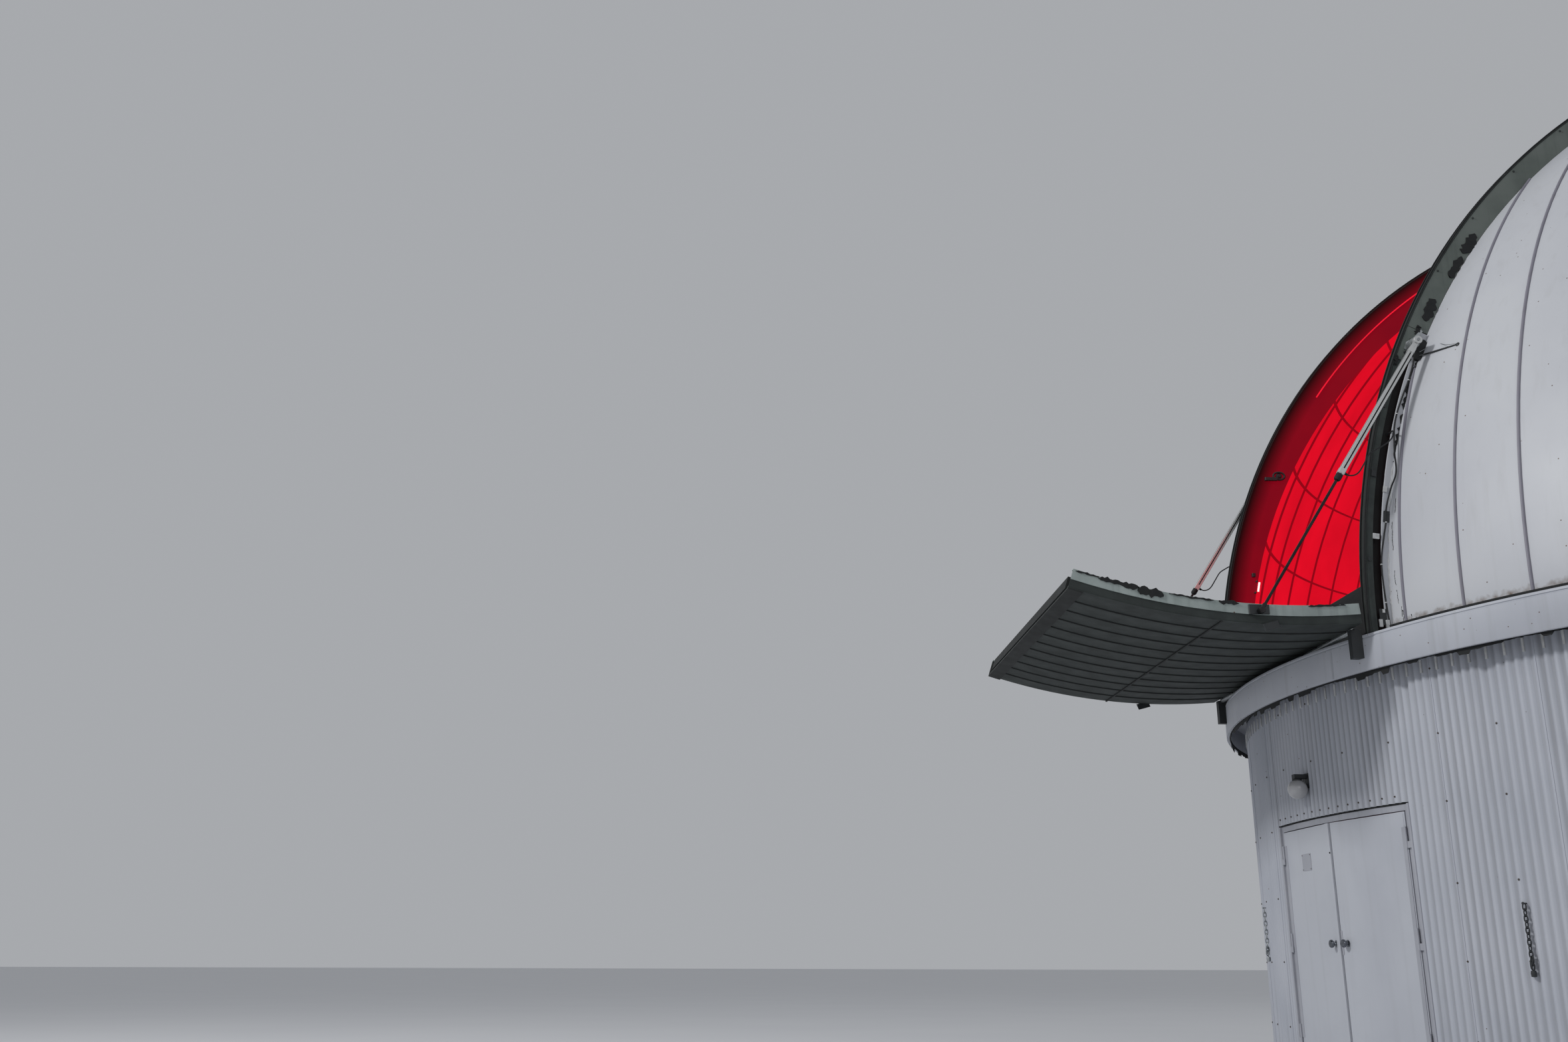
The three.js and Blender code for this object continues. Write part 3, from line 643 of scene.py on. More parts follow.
def meridian_bar(az, r_in, r_out, half, crown=0.0):
    """A bar up a meridian from the ring to the arch's plane, half wide to each side, crowned outside."""
    foot = math.degrees(math.asin((RING_TOP + 0.001 - DOME_Z) / r_out))
    top = math.degrees(math.acos(min(1.0, EDGE_X / (r_out * math.sin(math.radians(az))))))
    el = np.linspace(foot, max(top, foot + 0.3), 28)
    spread = degrees_of(half, r_out) / np.maximum(np.cos(np.radians(el)), 0.2)
    loop = ((-1, r_in), (1, r_in), (1, r_out - crown), (0.45, r_out), (-0.45, r_out), (-1, r_out - crown))
    return lofted([on_dome(r, az + s * spread, el) for s, r in loop])


def latitude_bar(el, r_in, r_out, half):
    """A square bar along a parallel of the lining, from arch to arch."""
    az0 = math.degrees(math.asin((ARCH_OUT + 0.03) / (r_in * math.cos(math.radians(el)))))
    az = np.linspace(az0, 180 - az0, 90)
    spread = degrees_of(half, r_in)
    return lofted([on_dome(r, az, el + d) for d, r in four_corners(-spread, spread, r_in, r_out)])


def cracks(first_seed, rows):
    """Dirty cracks up the dome beside its edge: strips up to 6 mm wide that wander by seeded noise.

    Each row is an azimuth and the two elevations.
    """
    made = []
    for seed, (az, el0, el1) in enumerate(rows, first_seed):
        rng = np.random.default_rng(seed)
        el = np.linspace(el0, el1, max(6, int((el1 - el0) * 12)))
        middle = az + CRACK_WANDER * np.cumsum(rng.uniform(-1, 1, len(el)))
        half = degrees_of(CRACK_HALF, DOME_R) * rng.uniform(0.15, 1.0, len(el))
        made.append(lofted([on_dome(DOME_R + proud, middle + s * half, el)
                            for s, proud in four_corners(-1, 1, CRACK_LOW, CRACK_HIGH)]))
    return made


seam_az = FIRST_SEAM_AZ + SEAM_STEP * np.arange(GORES_A_SIDE + 1)
put_pair("dome_skin_{}", half_shell(DOME_R - SKIN_T, DOME_R, 150, 36), DOME_SHEET,
         replaces=("dome_{}_front", "dome_{}_rear"))
put_pair("dome_lining_{}", half_shell(LINING_R, LINING_R + LINING_T, 110, 30), RED_LINING)
# The seams take their greyer tone as painted shade
put_pair("dome_seams_{}", [meridian_bar(az, DOME_R - 0.002, DOME_R + SEAM_PROUD, SEAM_HALF, SEAM_CROWN)
                           for az in seam_az], SEAM_SHADED_SHEET)
# The ribs glow darker red than the lining, as painted shade
put_pair("dome_ribs_{}", [meridian_bar(az, RIB_OUT - RIB_DEEP, RIB_OUT, RIB_HALF) for az in seam_az]
         + [latitude_bar(el, RIB_OUT - 2 * RIB_DEEP, RIB_OUT - RIB_DEEP, BAR_HALF) for el in RIB_LEVELS],
         RED_RIB_SHADED)
# Sealant blobs at the seams' feet, and the dark bead where the gores meet the ring
blob = turned([(0.021, 0.0), (0.019, 0.007), (0.012, 0.013), (0.003, 0.015)], sides=10)
put_pair("dome_seam_blobs_{}", round_wall(blob, DOME_R + SEAM_PROUD - 0.004, seam_az, RING_TOP + 0.020),
         SEALANT)
bead_az = math.degrees(math.asin(EDGE_X / DOME_R))
bead = ((5.294, 0.0005), (5.320, 0.0005), (5.316, 0.012), (5.297, 0.018))
bead = [(r, RING_TOP + z) for r, z in bead]
put_pair("dome_foot_bead_{}", lathe(bead, bead_az, 180 - bead_az, 120), RUBBER)
put_pair("dome_edge_cracks_{}", cracks(71, (
    (17.95, 5.9, 8.3), (18.0, 3.0, 4.2), (18.1, 1.5, 2.6), (18.3, 0.4, 1.2), (18.4, -0.3, 0.9),
    (19.2, -0.5, 0.4), (19.7, -0.5, 0.1), (18.2, 9.0, 10.2))), RUBBER)


# Arches: a channel darkened with painted shade, a green cover above and a bare recess below painted black as
# painted shade, red lit inside

WEB_OUT = ARCH_IN + 0.012
RECESS_OUT = ARCH_IN + 0.024
FACE_IN = ARCH_OUT - 0.009
RIM_R_IN = ARCH_R_OUT - 0.0135
LIP = 0.0125
FACE_R_OUT = 5.050
RECESS_R = 4.990
COVER_OUT = ARCH_OUT + 0.002
SEAL_R = ARCH_R_OUT + 0.0003
WHITE_FLANGE_R = (5.053, 5.112)
LINE_EL = (36.5, 55.9)
LINE_R = (5.076, 5.095)


def inner_edge(el):
    """Radius of the arch's inner edge: it widens by 75 mm towards the foot, as a smooth step."""
    t = np.clip((42 - np.minimum(el, 180 - el)) / 34, 0, 1)
    return ARCH_R_IN + 0.075 * t * t * (3 - 2 * t)


def edge_following(x0, x1, low, high):
    """A strip along the whole arch, between two radii: one below 1 is measured from the inner edge."""
    el = np.linspace(ARCH_FOOT_EL, ARCH_END_EL, 122)
    low, high = (inner_edge(el) + r if r < 1 else r for r in (low, high))
    return along_arc(four_corners(x0, x1, low, high), el)


def whole_arch(x0, x1, r0, r1, el0=ARCH_FOOT_EL, el1=ARCH_END_EL):
    """A folded strip between two radii, along the whole arch or between two elevations."""
    return arc_sweep(folded_strip(x0, x1, r0, r1), el0, el1)


def arch_fittings(*rows):
    """Flat fittings on the arch's outer face: radius, elevation, size along and across, and height."""
    made = []
    for r, el, along, across, proud in rows:
        d, half = degrees_of(along / 2, r), across / 2
        made.append(arch_plate(four_corners(r - half, r + half, el - d, el + d),
                               ARCH_OUT - 0.002, ARCH_OUT + proud))
    return made


# Rim, band under the cover and bolts take the green paint darkened as painted shade
put_pair("arch_rim_{}", whole_arch(ARCH_IN, ARCH_OUT, RIM_R_IN, ARCH_R_OUT), ARCH_SHADED_GREEN,
         replaces=("arch_{}",))
put_pair("arch_web_{}", edge_following(ARCH_IN, WEB_OUT, 0.0, RIM_R_IN), RED_PLATE)
# The inner plates take the ribs' darker red, painted shade
put_pair("arch_inner_plates_{}", [edge_following(WEB_OUT, ARCH_OUT, 0.0, LIP),
                                  edge_following(FACE_IN, ARCH_OUT, LIP, FACE_R_OUT)], RED_RIB_SHADED)
# The recess is painted black as painted shade
put_pair("arch_recess_{}", whole_arch(WEB_OUT, RECESS_OUT, RECESS_R, RIM_R_IN), ARCH_RECESS_SHADE)
put_pair("arch_side_band_{}", whole_arch(FACE_IN, ARCH_OUT, BAND_R, RIM_R_IN, el1=LOW_COVER_EL - 0.06),
         ARCH_BAND_SHADED)
put_pair("arch_cover_{}", [
    whole_arch(FACE_IN, COVER_OUT, DOME_EDGE_R, RIM_R_IN, COVER_EL, COVER_END_EL),
    whole_arch(FACE_IN, COVER_OUT, LOW_COVER_R, RIM_R_IN, LOW_COVER_EL, COVER_EL - 0.05)], ARCH_PAINT)
# Black strips along the arch's top edges, outside and inside
put_pair("arch_seals_{}", [
    whole_arch(ARCH_OUT - 0.012, ARCH_OUT + 0.007, SEAL_R, ARCH_R_OUT + 0.009),
    whole_arch(ARCH_IN - 0.005, ARCH_IN + 0.008, SEAL_R, ARCH_R_OUT + 0.011, el1=99.0)], RUBBER)
# Torn rubber on the outer face, where the cover starts
put_pair("arch_torn_rubber_{}", torn_strips(COVER_OUT, ARCH_OUT + 0.009, 11, (
    (5.084, 5.154, 28.0, 30.4, 0.014), (5.128, 5.160, 26.4, 27.3, 0.014), (5.150, 5.172, 23.9, 25.8, 0.014),
    (5.062, 5.124, 33.0, 35.4, 0.014), (5.064, 5.140, 35.8, 38.2, 0.014), (5.118, 5.136, 23.6, 24.8, 0.014),
    (5.205, 5.222, 22.9, 23.9, 0.014), (5.044, 5.070, 14.2, 19.0, 0.014),
    (5.046, 5.076, 19.2, 24.4, 0.014))), RUBBER)
line_el, line_r = np.linspace(*LINE_EL, 16), np.linspace(*LINE_R, 16)
put_pair("arch_red_line_{}", along_arc(
    four_corners(ARCH_IN - 0.014, ARCH_IN, line_r - 0.006, line_r + 0.006), line_el), RED_EDGE)
put_pair("dome_edge_flange_{}", whole_arch(ARCH_OUT - 0.010, ARCH_OUT + 0.003, *WHITE_FLANGE_R,
                                           el1=COVER_EL - 0.1), DOME_SHEET)
put_pair("dome_edge_caulk_{}", torn_strips(ARCH_OUT + 0.001, ARCH_OUT + 0.010, 31, (
    (5.046, 5.066, -0.5, 6.2, 0.005), (5.044, 5.062, 6.8, 8.6, 0.005), (5.047, 5.066, 9.8, 14.0, 0.005))),
    SEALANT)
put_pair("arch_white_clips_{}", arch_fittings(
    (5.151, 7.4, 0.040, 0.046, 0.008), (5.103, 11.6, 0.045, 0.026, 0.014), (5.150, 0.1, 0.055, 0.024, 0.010),
    (5.104, 0.0, 0.060, 0.024, 0.020), (5.066, -0.2, 0.040, 0.030, 0.012),
    (5.122, 1.1, 0.026, 0.018, 0.010)), SEALANT)
put_pair("arch_dark_clips_{}", arch_fittings(
    (5.128, 0.6, 0.120, 0.050, 0.006), (5.200, 5.4, 0.030, 0.020, 0.006), (5.196, 12.8, 0.050, 0.034, 0.010),
    (5.204, 19.0, 0.030, 0.020, 0.006), (5.082, 9.2, 0.085, 0.040, 0.014)), DARK_STEEL)
bolt = turned([(0.009, 0.0), (0.009, 0.004), (0.005, 0.007)], sides=8)
bolt_places = on_arc(COVER_OUT, 5.198, np.arange(33.0, 168.0, 6.4))
put_pair("arch_cover_bolts_{}", stamped(bolt, bolt_places, np.eye(3)[None]), ARCH_SHADED_GREEN)

# Rubber strip along the top of the slit's sill
put("slit_sill_rubber", block((-1.500, -5.200, 3.5905), (0, 0.030, 0), (0, 0, 0.055), (3.0, 0, 0), 0.006),
    RUBBER, "dome")

# Lamp tube, its fitting and the through plate of the actuator's mount, on the left arch's inner face
TUBE_X = ARCH_IN - 0.022
TUBE_R, TUBE_EL = 4.965, 12.45
TUBE_HALF = 0.045
HOLDER_R = 4.980
THROUGH_R, THROUGH_EL = 5.040, 25.7
tube_el = TUBE_EL + degrees_of(TUBE_HALF, TUBE_R) * np.linspace(-1, 1, 5)
put("arch_lamp_tube", on_side(tube(on_arc(TUBE_X, TUBE_R, tube_el), 0.009, 12), -1), TUBE_GLASS, "dome")
angle = full_turn(32)
through_ring = (np.stack([0 * angle, 0.055 * np.cos(angle), 0.038 * np.sin(angle)], -1)
                + on_arc(ARCH_IN - 0.012, THROUGH_R, THROUGH_EL))
put("arch_inner_fittings", on_side([
    tube(through_ring, 0.010, 8, True),
    turned([(0.030, 0.0), (0.030, 0.010), (0.014, 0.014), (0.014, 0.026)],
           on_arc(ARCH_IN, THROUGH_R, THROUGH_EL), -SIDEWAYS, 20),
    box(on_arc(ARCH_IN - 0.030, THROUGH_R, 25.1), 0.03, -0.12, 0.03, 0.003),
    box(on_arc(ARCH_IN - 0.034, 5.009, 13.5), 0.034, -0.030, 0.034, 0.003),
    box(on_arc(TUBE_X - 0.010, HOLDER_R, 11.7), 0.032, -0.016, 0.012),
    box(on_arc(TUBE_X - 0.010, HOLDER_R, 13.0), 0.032, -0.016, 0.012)], -1), DARK_STEEL, "dome")


# Cables along the arches, tied at intervals

CABLE_R = 0.006
CABLE_X = ARCH_OUT + 0.0095
# Each row is how far the cable stands off its straight line, its radius and its elevation
stands_off, cable_r, cable_el = np.array([
    (0.0, 5.085, -0.6), (0.0, 5.100, 1.8), (0.0, 5.116, 5.0), (0.0, 5.096, 7.4), (0.0, 5.083, 8.7),
    (0.004, 5.086, 10.0), (0.030, 5.074, 11.6), (0.066, 5.062, 13.0), (0.034, 5.082, 15.0),
    (0.004, 5.100, 17.2), (0.0, 5.103, 18.6), (0.0, 5.092, 20.4), (0.0, 5.081, 22.0), (0.0, 5.087, 23.8),
    (0.0, 5.112, 24.8)]).T
cable_line = smooth_path(on_arc(CABLE_X + stands_off, cable_r, cable_el))
put_pair("arch_cable_sheathed_{}", tube(cable_line, CABLE_R), CABLE_SHEATH, replaces=("arch_cable_{}",))
tie = turned([(0.0066, -0.004), (0.0085, -0.003), (0.0085, 0.003), (0.0066, 0.004)], axis=UP, sides=10)
tie_el = np.array([1.8, 5.0, 8.7, 18.6, 22.0])
tie_axes = [[(1, 0, 0), (0, -math.cos(a), math.sin(a)), (0, -math.sin(a), -math.cos(a))]
            for a in np.radians(tie_el)]
put_pair("arch_cable_ties_{}", stamped(tie, on_arc(CABLE_X, np.interp(tie_el, cable_el, cable_r), tie_el),
                                       tie_axes), SEALANT)


# Base ring

SKIRT_IN = 5.445
GROOVE_R = RING_R - 0.006
SHEET_LAPS = 11
FLAP_R_IN, FLAP_R_OUT = 5.4405, 5.4440
FLAP_TOP = 3.020
FLAP_AZ = 0.9
put("base_ring_sheet", lathe([
    (5.150, 3.218), (SKIRT_IN, 3.218), (SKIRT_IN, 3.006), (5.450, RING_BOTTOM), (5.470, RING_BOTTOM),
    (RING_R, 3.006), (RING_R, 3.226), (GROOVE_R, 3.230), (GROOVE_R, 3.236), (RING_R, 3.240), (RING_R, 3.252),
    (RING_R - 0.004, 3.258), (5.310, RING_TOP), (5.150, RING_TOP)]),
    RING_SHEET, "dome", replaces=("base_ring",))
# A black strip along the ring's top outer edge
put("ring_rim_black_strip", lathe([
    (5.440, 3.2625), (5.4695, 3.2590), (5.4720, 3.2710), (5.466, 3.2765), (5.444, 3.2765)],
    18.8, 341.2, 324), RUBBER, "dome")
ring_lap = box((-0.0005, -0.011, 0.004), 0.002, 0.022, 0.220, 0.0008)
ring_lap_az = np.arange(12.0, 372.0, 360.0 / SHEET_LAPS)
put("ring_sheet_laps", round_wall(ring_lap, RING_R, ring_lap_az, RING_BOTTOM), RING_SHEET, "dome")


def ragged_skirt(seed):
    """A thin strip hung inside the skirt: its lower edge steps from flap to flap by seeded noise.

    The length of a flap is the square of a random number, so few of them hang low.
    """
    rng = np.random.default_rng(seed)
    az = np.linspace(0, 360, 1921)[:-1]
    flap = np.floor(az / FLAP_AZ).astype(int)
    drop = 0.004 + 0.044 * rng.random(flap.max() + 1)[flap] ** 2 + 0.005 * rng.random(len(az))
    loop = four_corners(FLAP_R_IN, FLAP_R_OUT, FLAP_TOP, RING_BOTTOM - drop)
    return lofted([on_wall(r, az, z) for r, z in loop], closed=True)


put("ring_rubber_flaps", ragged_skirt(7), RUBBER, "dome")


# Corrugated wall sheets

WAVE = 0.0085
WAVE_MIDDLE = 0.0108
LAP_LIFT = 0.0035
SHEET_T = 0.0015
COLUMNS = 8
CUT_GAP = 0.02
WALL_RUNS = 4


def wave(az):
    """Radius of the corrugated face: a cosine round the wall, each sheet's end lifted over the next."""
    across = (az - LAP_AZ) / PITCH_AZ
    lift = LAP_LIFT * np.mod(across / PER_SHEET, 1.0)
    return WALL_R + WAVE_MIDDLE + WAVE * np.cos(2 * np.pi * across) + lift


def crest(az):
    """The azimuth of the corrugation crest nearest to an azimuth."""
    return LAP_AZ + np.round((np.asarray(az) - LAP_AZ) / PITCH_AZ) * PITCH_AZ


def put_sheets(name, az0, az1, z0):
    """A corrugated sheet between two azimuths, from a height to the wall's top."""
    laps = LAP_AZ + np.arange(-60, 60) * PITCH_AZ * PER_SHEET
    laps = laps[(laps > az0) & (laps < az1)]
    az = np.sort(np.concatenate([np.arange(az0, az1, PITCH_AZ / COLUMNS), [az1], laps - 1e-4, laps + 1e-4]))
    r, z = wave(az)[:, None], np.array([[z0, WALL_TOP]])
    faces = [on_wall(radius, az[:, None], z) for radius in (r, r - SHEET_T)]
    put(name, sheet_between(*faces), WALL_SHEET, "building", sharp=60)


edges = np.linspace(DOOR_END + CUT_GAP, DOOR_START + 360 - CUT_GAP, WALL_RUNS + 1)
for k in range(WALL_RUNS):
    put_sheets(f"wall_sheets_{k + 1}", edges[k], edges[k + 1], WALL_FOOT + 0.002)
put_sheets("wall_sheets_over_door", DOOR_START + CUT_GAP, DOOR_END - CUT_GAP, OPENING_TOP + 0.010)

# White closure clips on the crests just under the skirt, their white in part a painted highlight on the
# crests' ends
clip_az = crest(np.arange(0.2, 360, 2 * PITCH_AZ))
clip = box((-0.001, -0.008, -0.066), 0.010, 0.016, 0.090, 0.001)
put("wall_top_clips_and_highlights", round_wall(clip, wave(clip_az), clip_az, RING_BOTTOM - 0.004), SEALANT, "building")

SCREW_LEVELS = (0.5, 1.0, 1.5, 2.04, 2.5, 2.95)
screw_head = turned([(0.0075, -0.001), (0.0075, 0.0015), (0.006, 0.002), (0.0045, 0.0055), (0.001, 0.0058)],
                    sides=8)
screw_grid = np.meshgrid(crest(LAP_AZ + np.arange(STUDS) * (360.0 / STUDS)), SCREW_LEVELS)
stud_az, stud_z = (a.ravel() for a in screw_grid)
clear = (np.mod(stud_az - DOOR_START, 360) > 2 * LEAF_SPAN + 0.5) | (stud_z > OPENING_TOP)
over_door_az = crest(np.arange(DOOR_START + 1.0, DOOR_END - 0.4, 2 * PITCH_AZ))
screw_az = np.concatenate([stud_az[clear], over_door_az])
screw_z = np.concatenate([stud_z[clear], 0 * over_door_az + OPENING_TOP + 0.055])
put("wall_screws", round_wall(screw_head, wave(screw_az), screw_az, screw_z), SCREW_STEEL, "building",
    sharp=25)


# Entrance

HINGE_GAP = 0.066
LEAF_T = 0.045
MARGIN = 0.014
KNOB_LEVEL = 1.129
PLATE_U, PLATE_Z = 0.404, 1.686
PLATE_W, PLATE_H = 0.168, 0.129
leaf_high = LEAF_HIGH - LEAF_LOW
for side, label in SIDES:
    # Origin at the hinge end of the leaf's chord, u along it and v outwards
    origin = on_wall(LEAF_R, DOOR_START if side < 0 else DOOR_END, 0.0)
    chord = on_wall(LEAF_R, DOOR_AZ, 0.0) - origin
    length = np.linalg.norm(chord)
    u = chord / length
    v = np.array([u[1], -u[0], 0.0]) * -side
    body = f"door_{label}"
    meeting = length - 0.007
    width = meeting - HINGE_GAP

    def at(along, out, z):
        """The point at a distance along the leaf, out from its face and above the ground."""
        return origin + u * along + v * out + UP * z

    put(f"{body}_sheet", [
        block(at(HINGE_GAP, -LEAF_T, LEAF_LOW), u * width, v * LEAF_T, UP * leaf_high, 0.003),
        block(at(HINGE_GAP + MARGIN, 0.0005, LEAF_LOW + MARGIN), u * (width - 2 * MARGIN), v * 0.0016,
              UP * (leaf_high - 2 * MARGIN), 0.001)],
        DOOR_PAINT, body, sharp=30, replaces=(f"{body}_leaf",))
    # Knob and rosette take the chrome darkened as a painted reflection
    knob_at = at(meeting - 0.078, 0.0022, KNOB_LEVEL)
    knob = turned([(0.018, 0.006), (0.014, 0.008), (0.012, 0.018), (0.022, 0.024), (0.029, 0.032),
                   (0.030, 0.041), (0.026, 0.050), (0.015, 0.055), (0.001, 0.0562)], knob_at, v, 28)
    put(f"{body}_knob_turned", knob, CHROME_DARK_REFLECTING, body, replaces=(f"{body}_knob",))
    rosette = turned([(0.024, 0.0), (0.026, 0.003), (0.024, 0.006), (0.019, 0.007)], knob_at, v, 28)
    put(f"{body}_rosette", rosette, CHROME_DARK_REFLECTING, body)
    if side > 0:
        guard = block(at(meeting - 0.020, 0.0025, 1.05), u * 0.016, v * 0.003, UP * 0.17, 0.001)
        put("door_latch_guard", guard, FRAME_PAINT, body)
        continue
    plate = block(at(PLATE_U, 0.0025, PLATE_Z), u * PLATE_W, v * 0.0025, UP * PLATE_H, 0.001)
    put("blank_plate", plate, FRAME_PAINT, body)
    keeper = turned([(0.007, 0.0), (0.007, 0.004), (0.004, 0.006)], at(meeting - 0.008, 0.0095, 1.79), v, 12)
    put("door_keeper", keeper, DARK_STEEL, body)
    corners = [at(PLATE_U + a, 0.005, PLATE_Z + b) for a in (0.010, 0.158) for b in (0.010, 0.119)]
    small_axes = 0.6 * np.stack([v, np.cross(UP, v), UP])[None]
    put("plate_screws", stamped(screw_head, corners, small_axes), SCREW_STEEL, body)

# A black strip under the cut ends of the sheets, painted shade in the gap there, and folded trims beside the
# frame
gap = four_corners(WALL_R + 0.0005, WALL_R + 0.003, OPENING_TOP - 0.002, OPENING_TOP + 0.012)
put("door_head_shade_strip", lathe(gap, DOOR_START, DOOR_END, 22), RUBBER, "building")
for az, label, proud in ((DOOR_START - 0.06, "left", 0.018), (DOOR_END - 0.16, "right", 0.025)):
    strip = box((0.001, 0.0, 0.0), proud, 0.021, OPENING_TOP - WALL_FOOT - 0.004)
    strip = round_wall(strip, WALL_R, np.array([az]), WALL_FOOT + 0.003)
    put(f"door_trim_{label}", strip, FRAME_PAINT, "building")


# Lamp over the entrance

LAMP_AZ = 2.9
LAMP_LEVEL = 2.294
GLOBE_OUT = 5.372
GLOBE_R = 0.077
ARM_LOW = GLOBE_R + 0.006
globe_at = on_wall(GLOBE_OUT, LAMP_AZ, LAMP_LEVEL)
angle = np.linspace(-np.pi / 2 + 0.02, np.pi / 2 - 0.30, 26)
globe = turned(GLOBE_R * np.stack([np.cos(angle), np.sin(angle)], -1), globe_at, UP, 40)
put("lamp_opal_globe", globe, OPAL, "building", replaces=("lamp_globe",))
out, along, _ = wall_axes(LAMP_AZ)
arm_at = globe_at - out * 0.090 + UP * ARM_LOW
put("lamp_arm", [
    turned([(0.034, -0.012), (0.038, 0.0), (0.038, 0.010), (0.030, 0.014)], globe_at + UP * (GLOBE_R - 0.008),
           UP, 28),
    block(arm_at - along * 0.026, along * 0.052, UP * 0.034, out * 0.118, 0.004),
    block(arm_at - along * 0.055 - UP * 0.075, along * 0.11, UP * 0.116, out * 0.020, 0.004)],
    DARK_STEEL, "building", replaces=("lamp_bracket",))


# Shutters

SHUTTER_STRIPS = 12
SHEET_UNDER = SHUTTER_R - 0.0065
WEB_IN = SHUTTER_HALF - 0.006
HEAD_IN = SHUTTER_HALF - FLANGE_T
JOINT_EL = 10.9
JOINT_PROUD = 0.0105
PANEL_EL = (21.8, 22.4, LOWER_TIP_EL)
BOTH_EDGES = np.array([-SHUTTER_HALF, SHUTTER_HALF])
# The edge channel: a web beside the sheet and a head under it. Rows are x0, x1, r0, r1 and the cut edge
CHANNEL = ((WEB_IN, SHUTTER_HALF, FLANGE_R_IN + 0.002, SHEET_UNDER, 0.001),
           (HEAD_IN, WEB_IN, SHUTTER_R - 0.016, SHEET_UNDER, 0.001))
# The pale cap on the channel's free edge: a leg on the outside and a toe over the edge
CAP = ((SHUTTER_HALF, SHUTTER_HALF + 0.007, FLANGE_R_IN - 0.004, CAP_R, 0.002),
       (HEAD_IN, SHUTTER_HALF, FLANGE_R_IN - 0.004, FLANGE_R_IN + 0.002, 0.001))


def shutter_skin(el0, el1, turn):
    """The bent sheet of a shutter, straight across and curved along its length."""
    el = np.linspace(el0, el1, max(12, int((el1 - el0) / 1.2)))[:, None]
    x = np.linspace(-SHUTTER_HALF, SHUTTER_HALF, 41)[None]
    return sheet_between(turn(on_arc(x, SHUTTER_R, el)), turn(on_arc(x, SHUTTER_R - SHUTTER_T, el)))


def shutter_seams(el0, el1, turn):
    """Standing seams along a shutter, evenly spaced across it, each a low crowned strip."""
    middles = np.linspace(-SHUTTER_HALF, SHUTTER_HALF, SHUTTER_STRIPS + 1)[1:-1]
    loop = np.array([(-0.008, -0.001), (0.008, -0.001), (0.006, 0.007), (0, 0.009), (-0.006, 0.007)])
    return [arc_sweep(loop + (x, SHUTTER_R), el0, el1, turn) for x in middles]


def cross_strip(elevations, proud, turn):
    """A flat strip right across a shutter's outer face, over a run of elevations."""
    loop = [(SHUTTER_R, el) for el in elevations] + [(SHUTTER_R + proud, el) for el in reversed(elevations)]
    return lofted([on_arc(BOTH_EDGES, r, el) for r, el in loop], turn)


lower_foot = math.degrees(math.asin((LOWER_FOOT_Z - DOME_Z) / SHUTTER_R))
for label, el0, el1, turn, body in (("upper", *UPPER_EL, as_built, "dome"),
                                    ("lower", lower_foot, LOWER_TIP_EL, fold_out, "lower_shutter")):
    name = f"{label}_shutter"
    # Sheets and channels take the green paint darkened as painted shade, the seams a darker copy, painted
    # shade too
    put(f"{name}_sheet", shutter_skin(el0, el1, turn), SHUTTER_SHADED_PAINT, body, replaces=(f"{name}_skin",))
    put(f"{name}_seams", shutter_seams(el0, el1, turn), SHUTTER_DARKER_SHADE, body)
    channel, cap = ([arc_sweep(folded_strip(*row), el0, el1, turn) for row in rows]
                    for rows in (CHANNEL, CAP))
    put_pair(name + "_channel_{}", channel, SHUTTER_SHADED_PAINT, body, replaces=(name + "_flange_{}",))
    put_pair(name + "_cap_{}", cap, CAP_PAINT, body)
# Joints and the tip panel take the darker copy, painted shade
put("lower_shutter_joint", cross_strip((JOINT_EL + 0.07, JOINT_EL - 0.07), 0.0095, fold_out), SHUTTER_DARKER_SHADE,
    "lower_shutter")
put("lower_shutter_tip_panel", cross_strip(PANEL_EL, JOINT_PROUD, fold_out), SHUTTER_DARKER_SHADE, "lower_shutter")
put("upper_shutter_joints", [cross_strip((el + 0.22, el - 0.22), JOINT_PROUD, as_built)
                             for el in (120.0, 145.0)], SHUTTER_DARKER_SHADE, "dome")
# Rubber edging torn off in places: pieces that still hang on the caps
put_pair("lower_shutter_torn_rubber_{}", torn_strips(SHUTTER_HALF + 0.004, SHUTTER_HALF + 0.014, 51, (
    (5.140, 5.176, 17.6, 20.9, 0.010), (5.142, 5.200, 15.6, 17.7, 0.012), (5.148, 5.160, 20.9, 22.8, 0.006),
    (5.146, 5.158, 11.6, 15.2, 0.004), (5.140, 5.168, 9.6, 11.2, 0.007),
    (5.145, 5.158, 1.0, 4.0, 0.004)), fold_out), RUBBER, "lower_shutter")
put_pair("lower_shutter_lug_plate_{}", [
    box(fold_out(on_arc(SHUTTER_HALF + 0.006, 5.150, 7.2)), 0.014, -0.15, -0.07, 0.004),
    block(fold_out(on_arc(SHUTTER_HALF + 0.006, 5.262, 6.6)), (0.016, 0, 0), (0, -0.11, -0.03),
          (0, 0.02, -0.05), 0.004)], DARK_STEEL, "lower_shutter")


# Actuators

ACT_X = 1.700
MOUNT_R, MOUNT_EL = 5.150, 25.0
LUG_R, LUG_EL = 5.205, 8.0
BODY_END = 1.296
ROD_LENGTH = 1.400
SHADOW_OVAL_R = 5.074
mount_at = on_arc(ACT_X, MOUNT_R, MOUNT_EL)
lug_at = fold_out(on_arc(ACT_X, LUG_R, LUG_EL))
reach = np.linalg.norm(lug_at - mount_at)
way = (lug_at - mount_at) / reach
SQUARE = np.cross(way, SIDEWAYS)


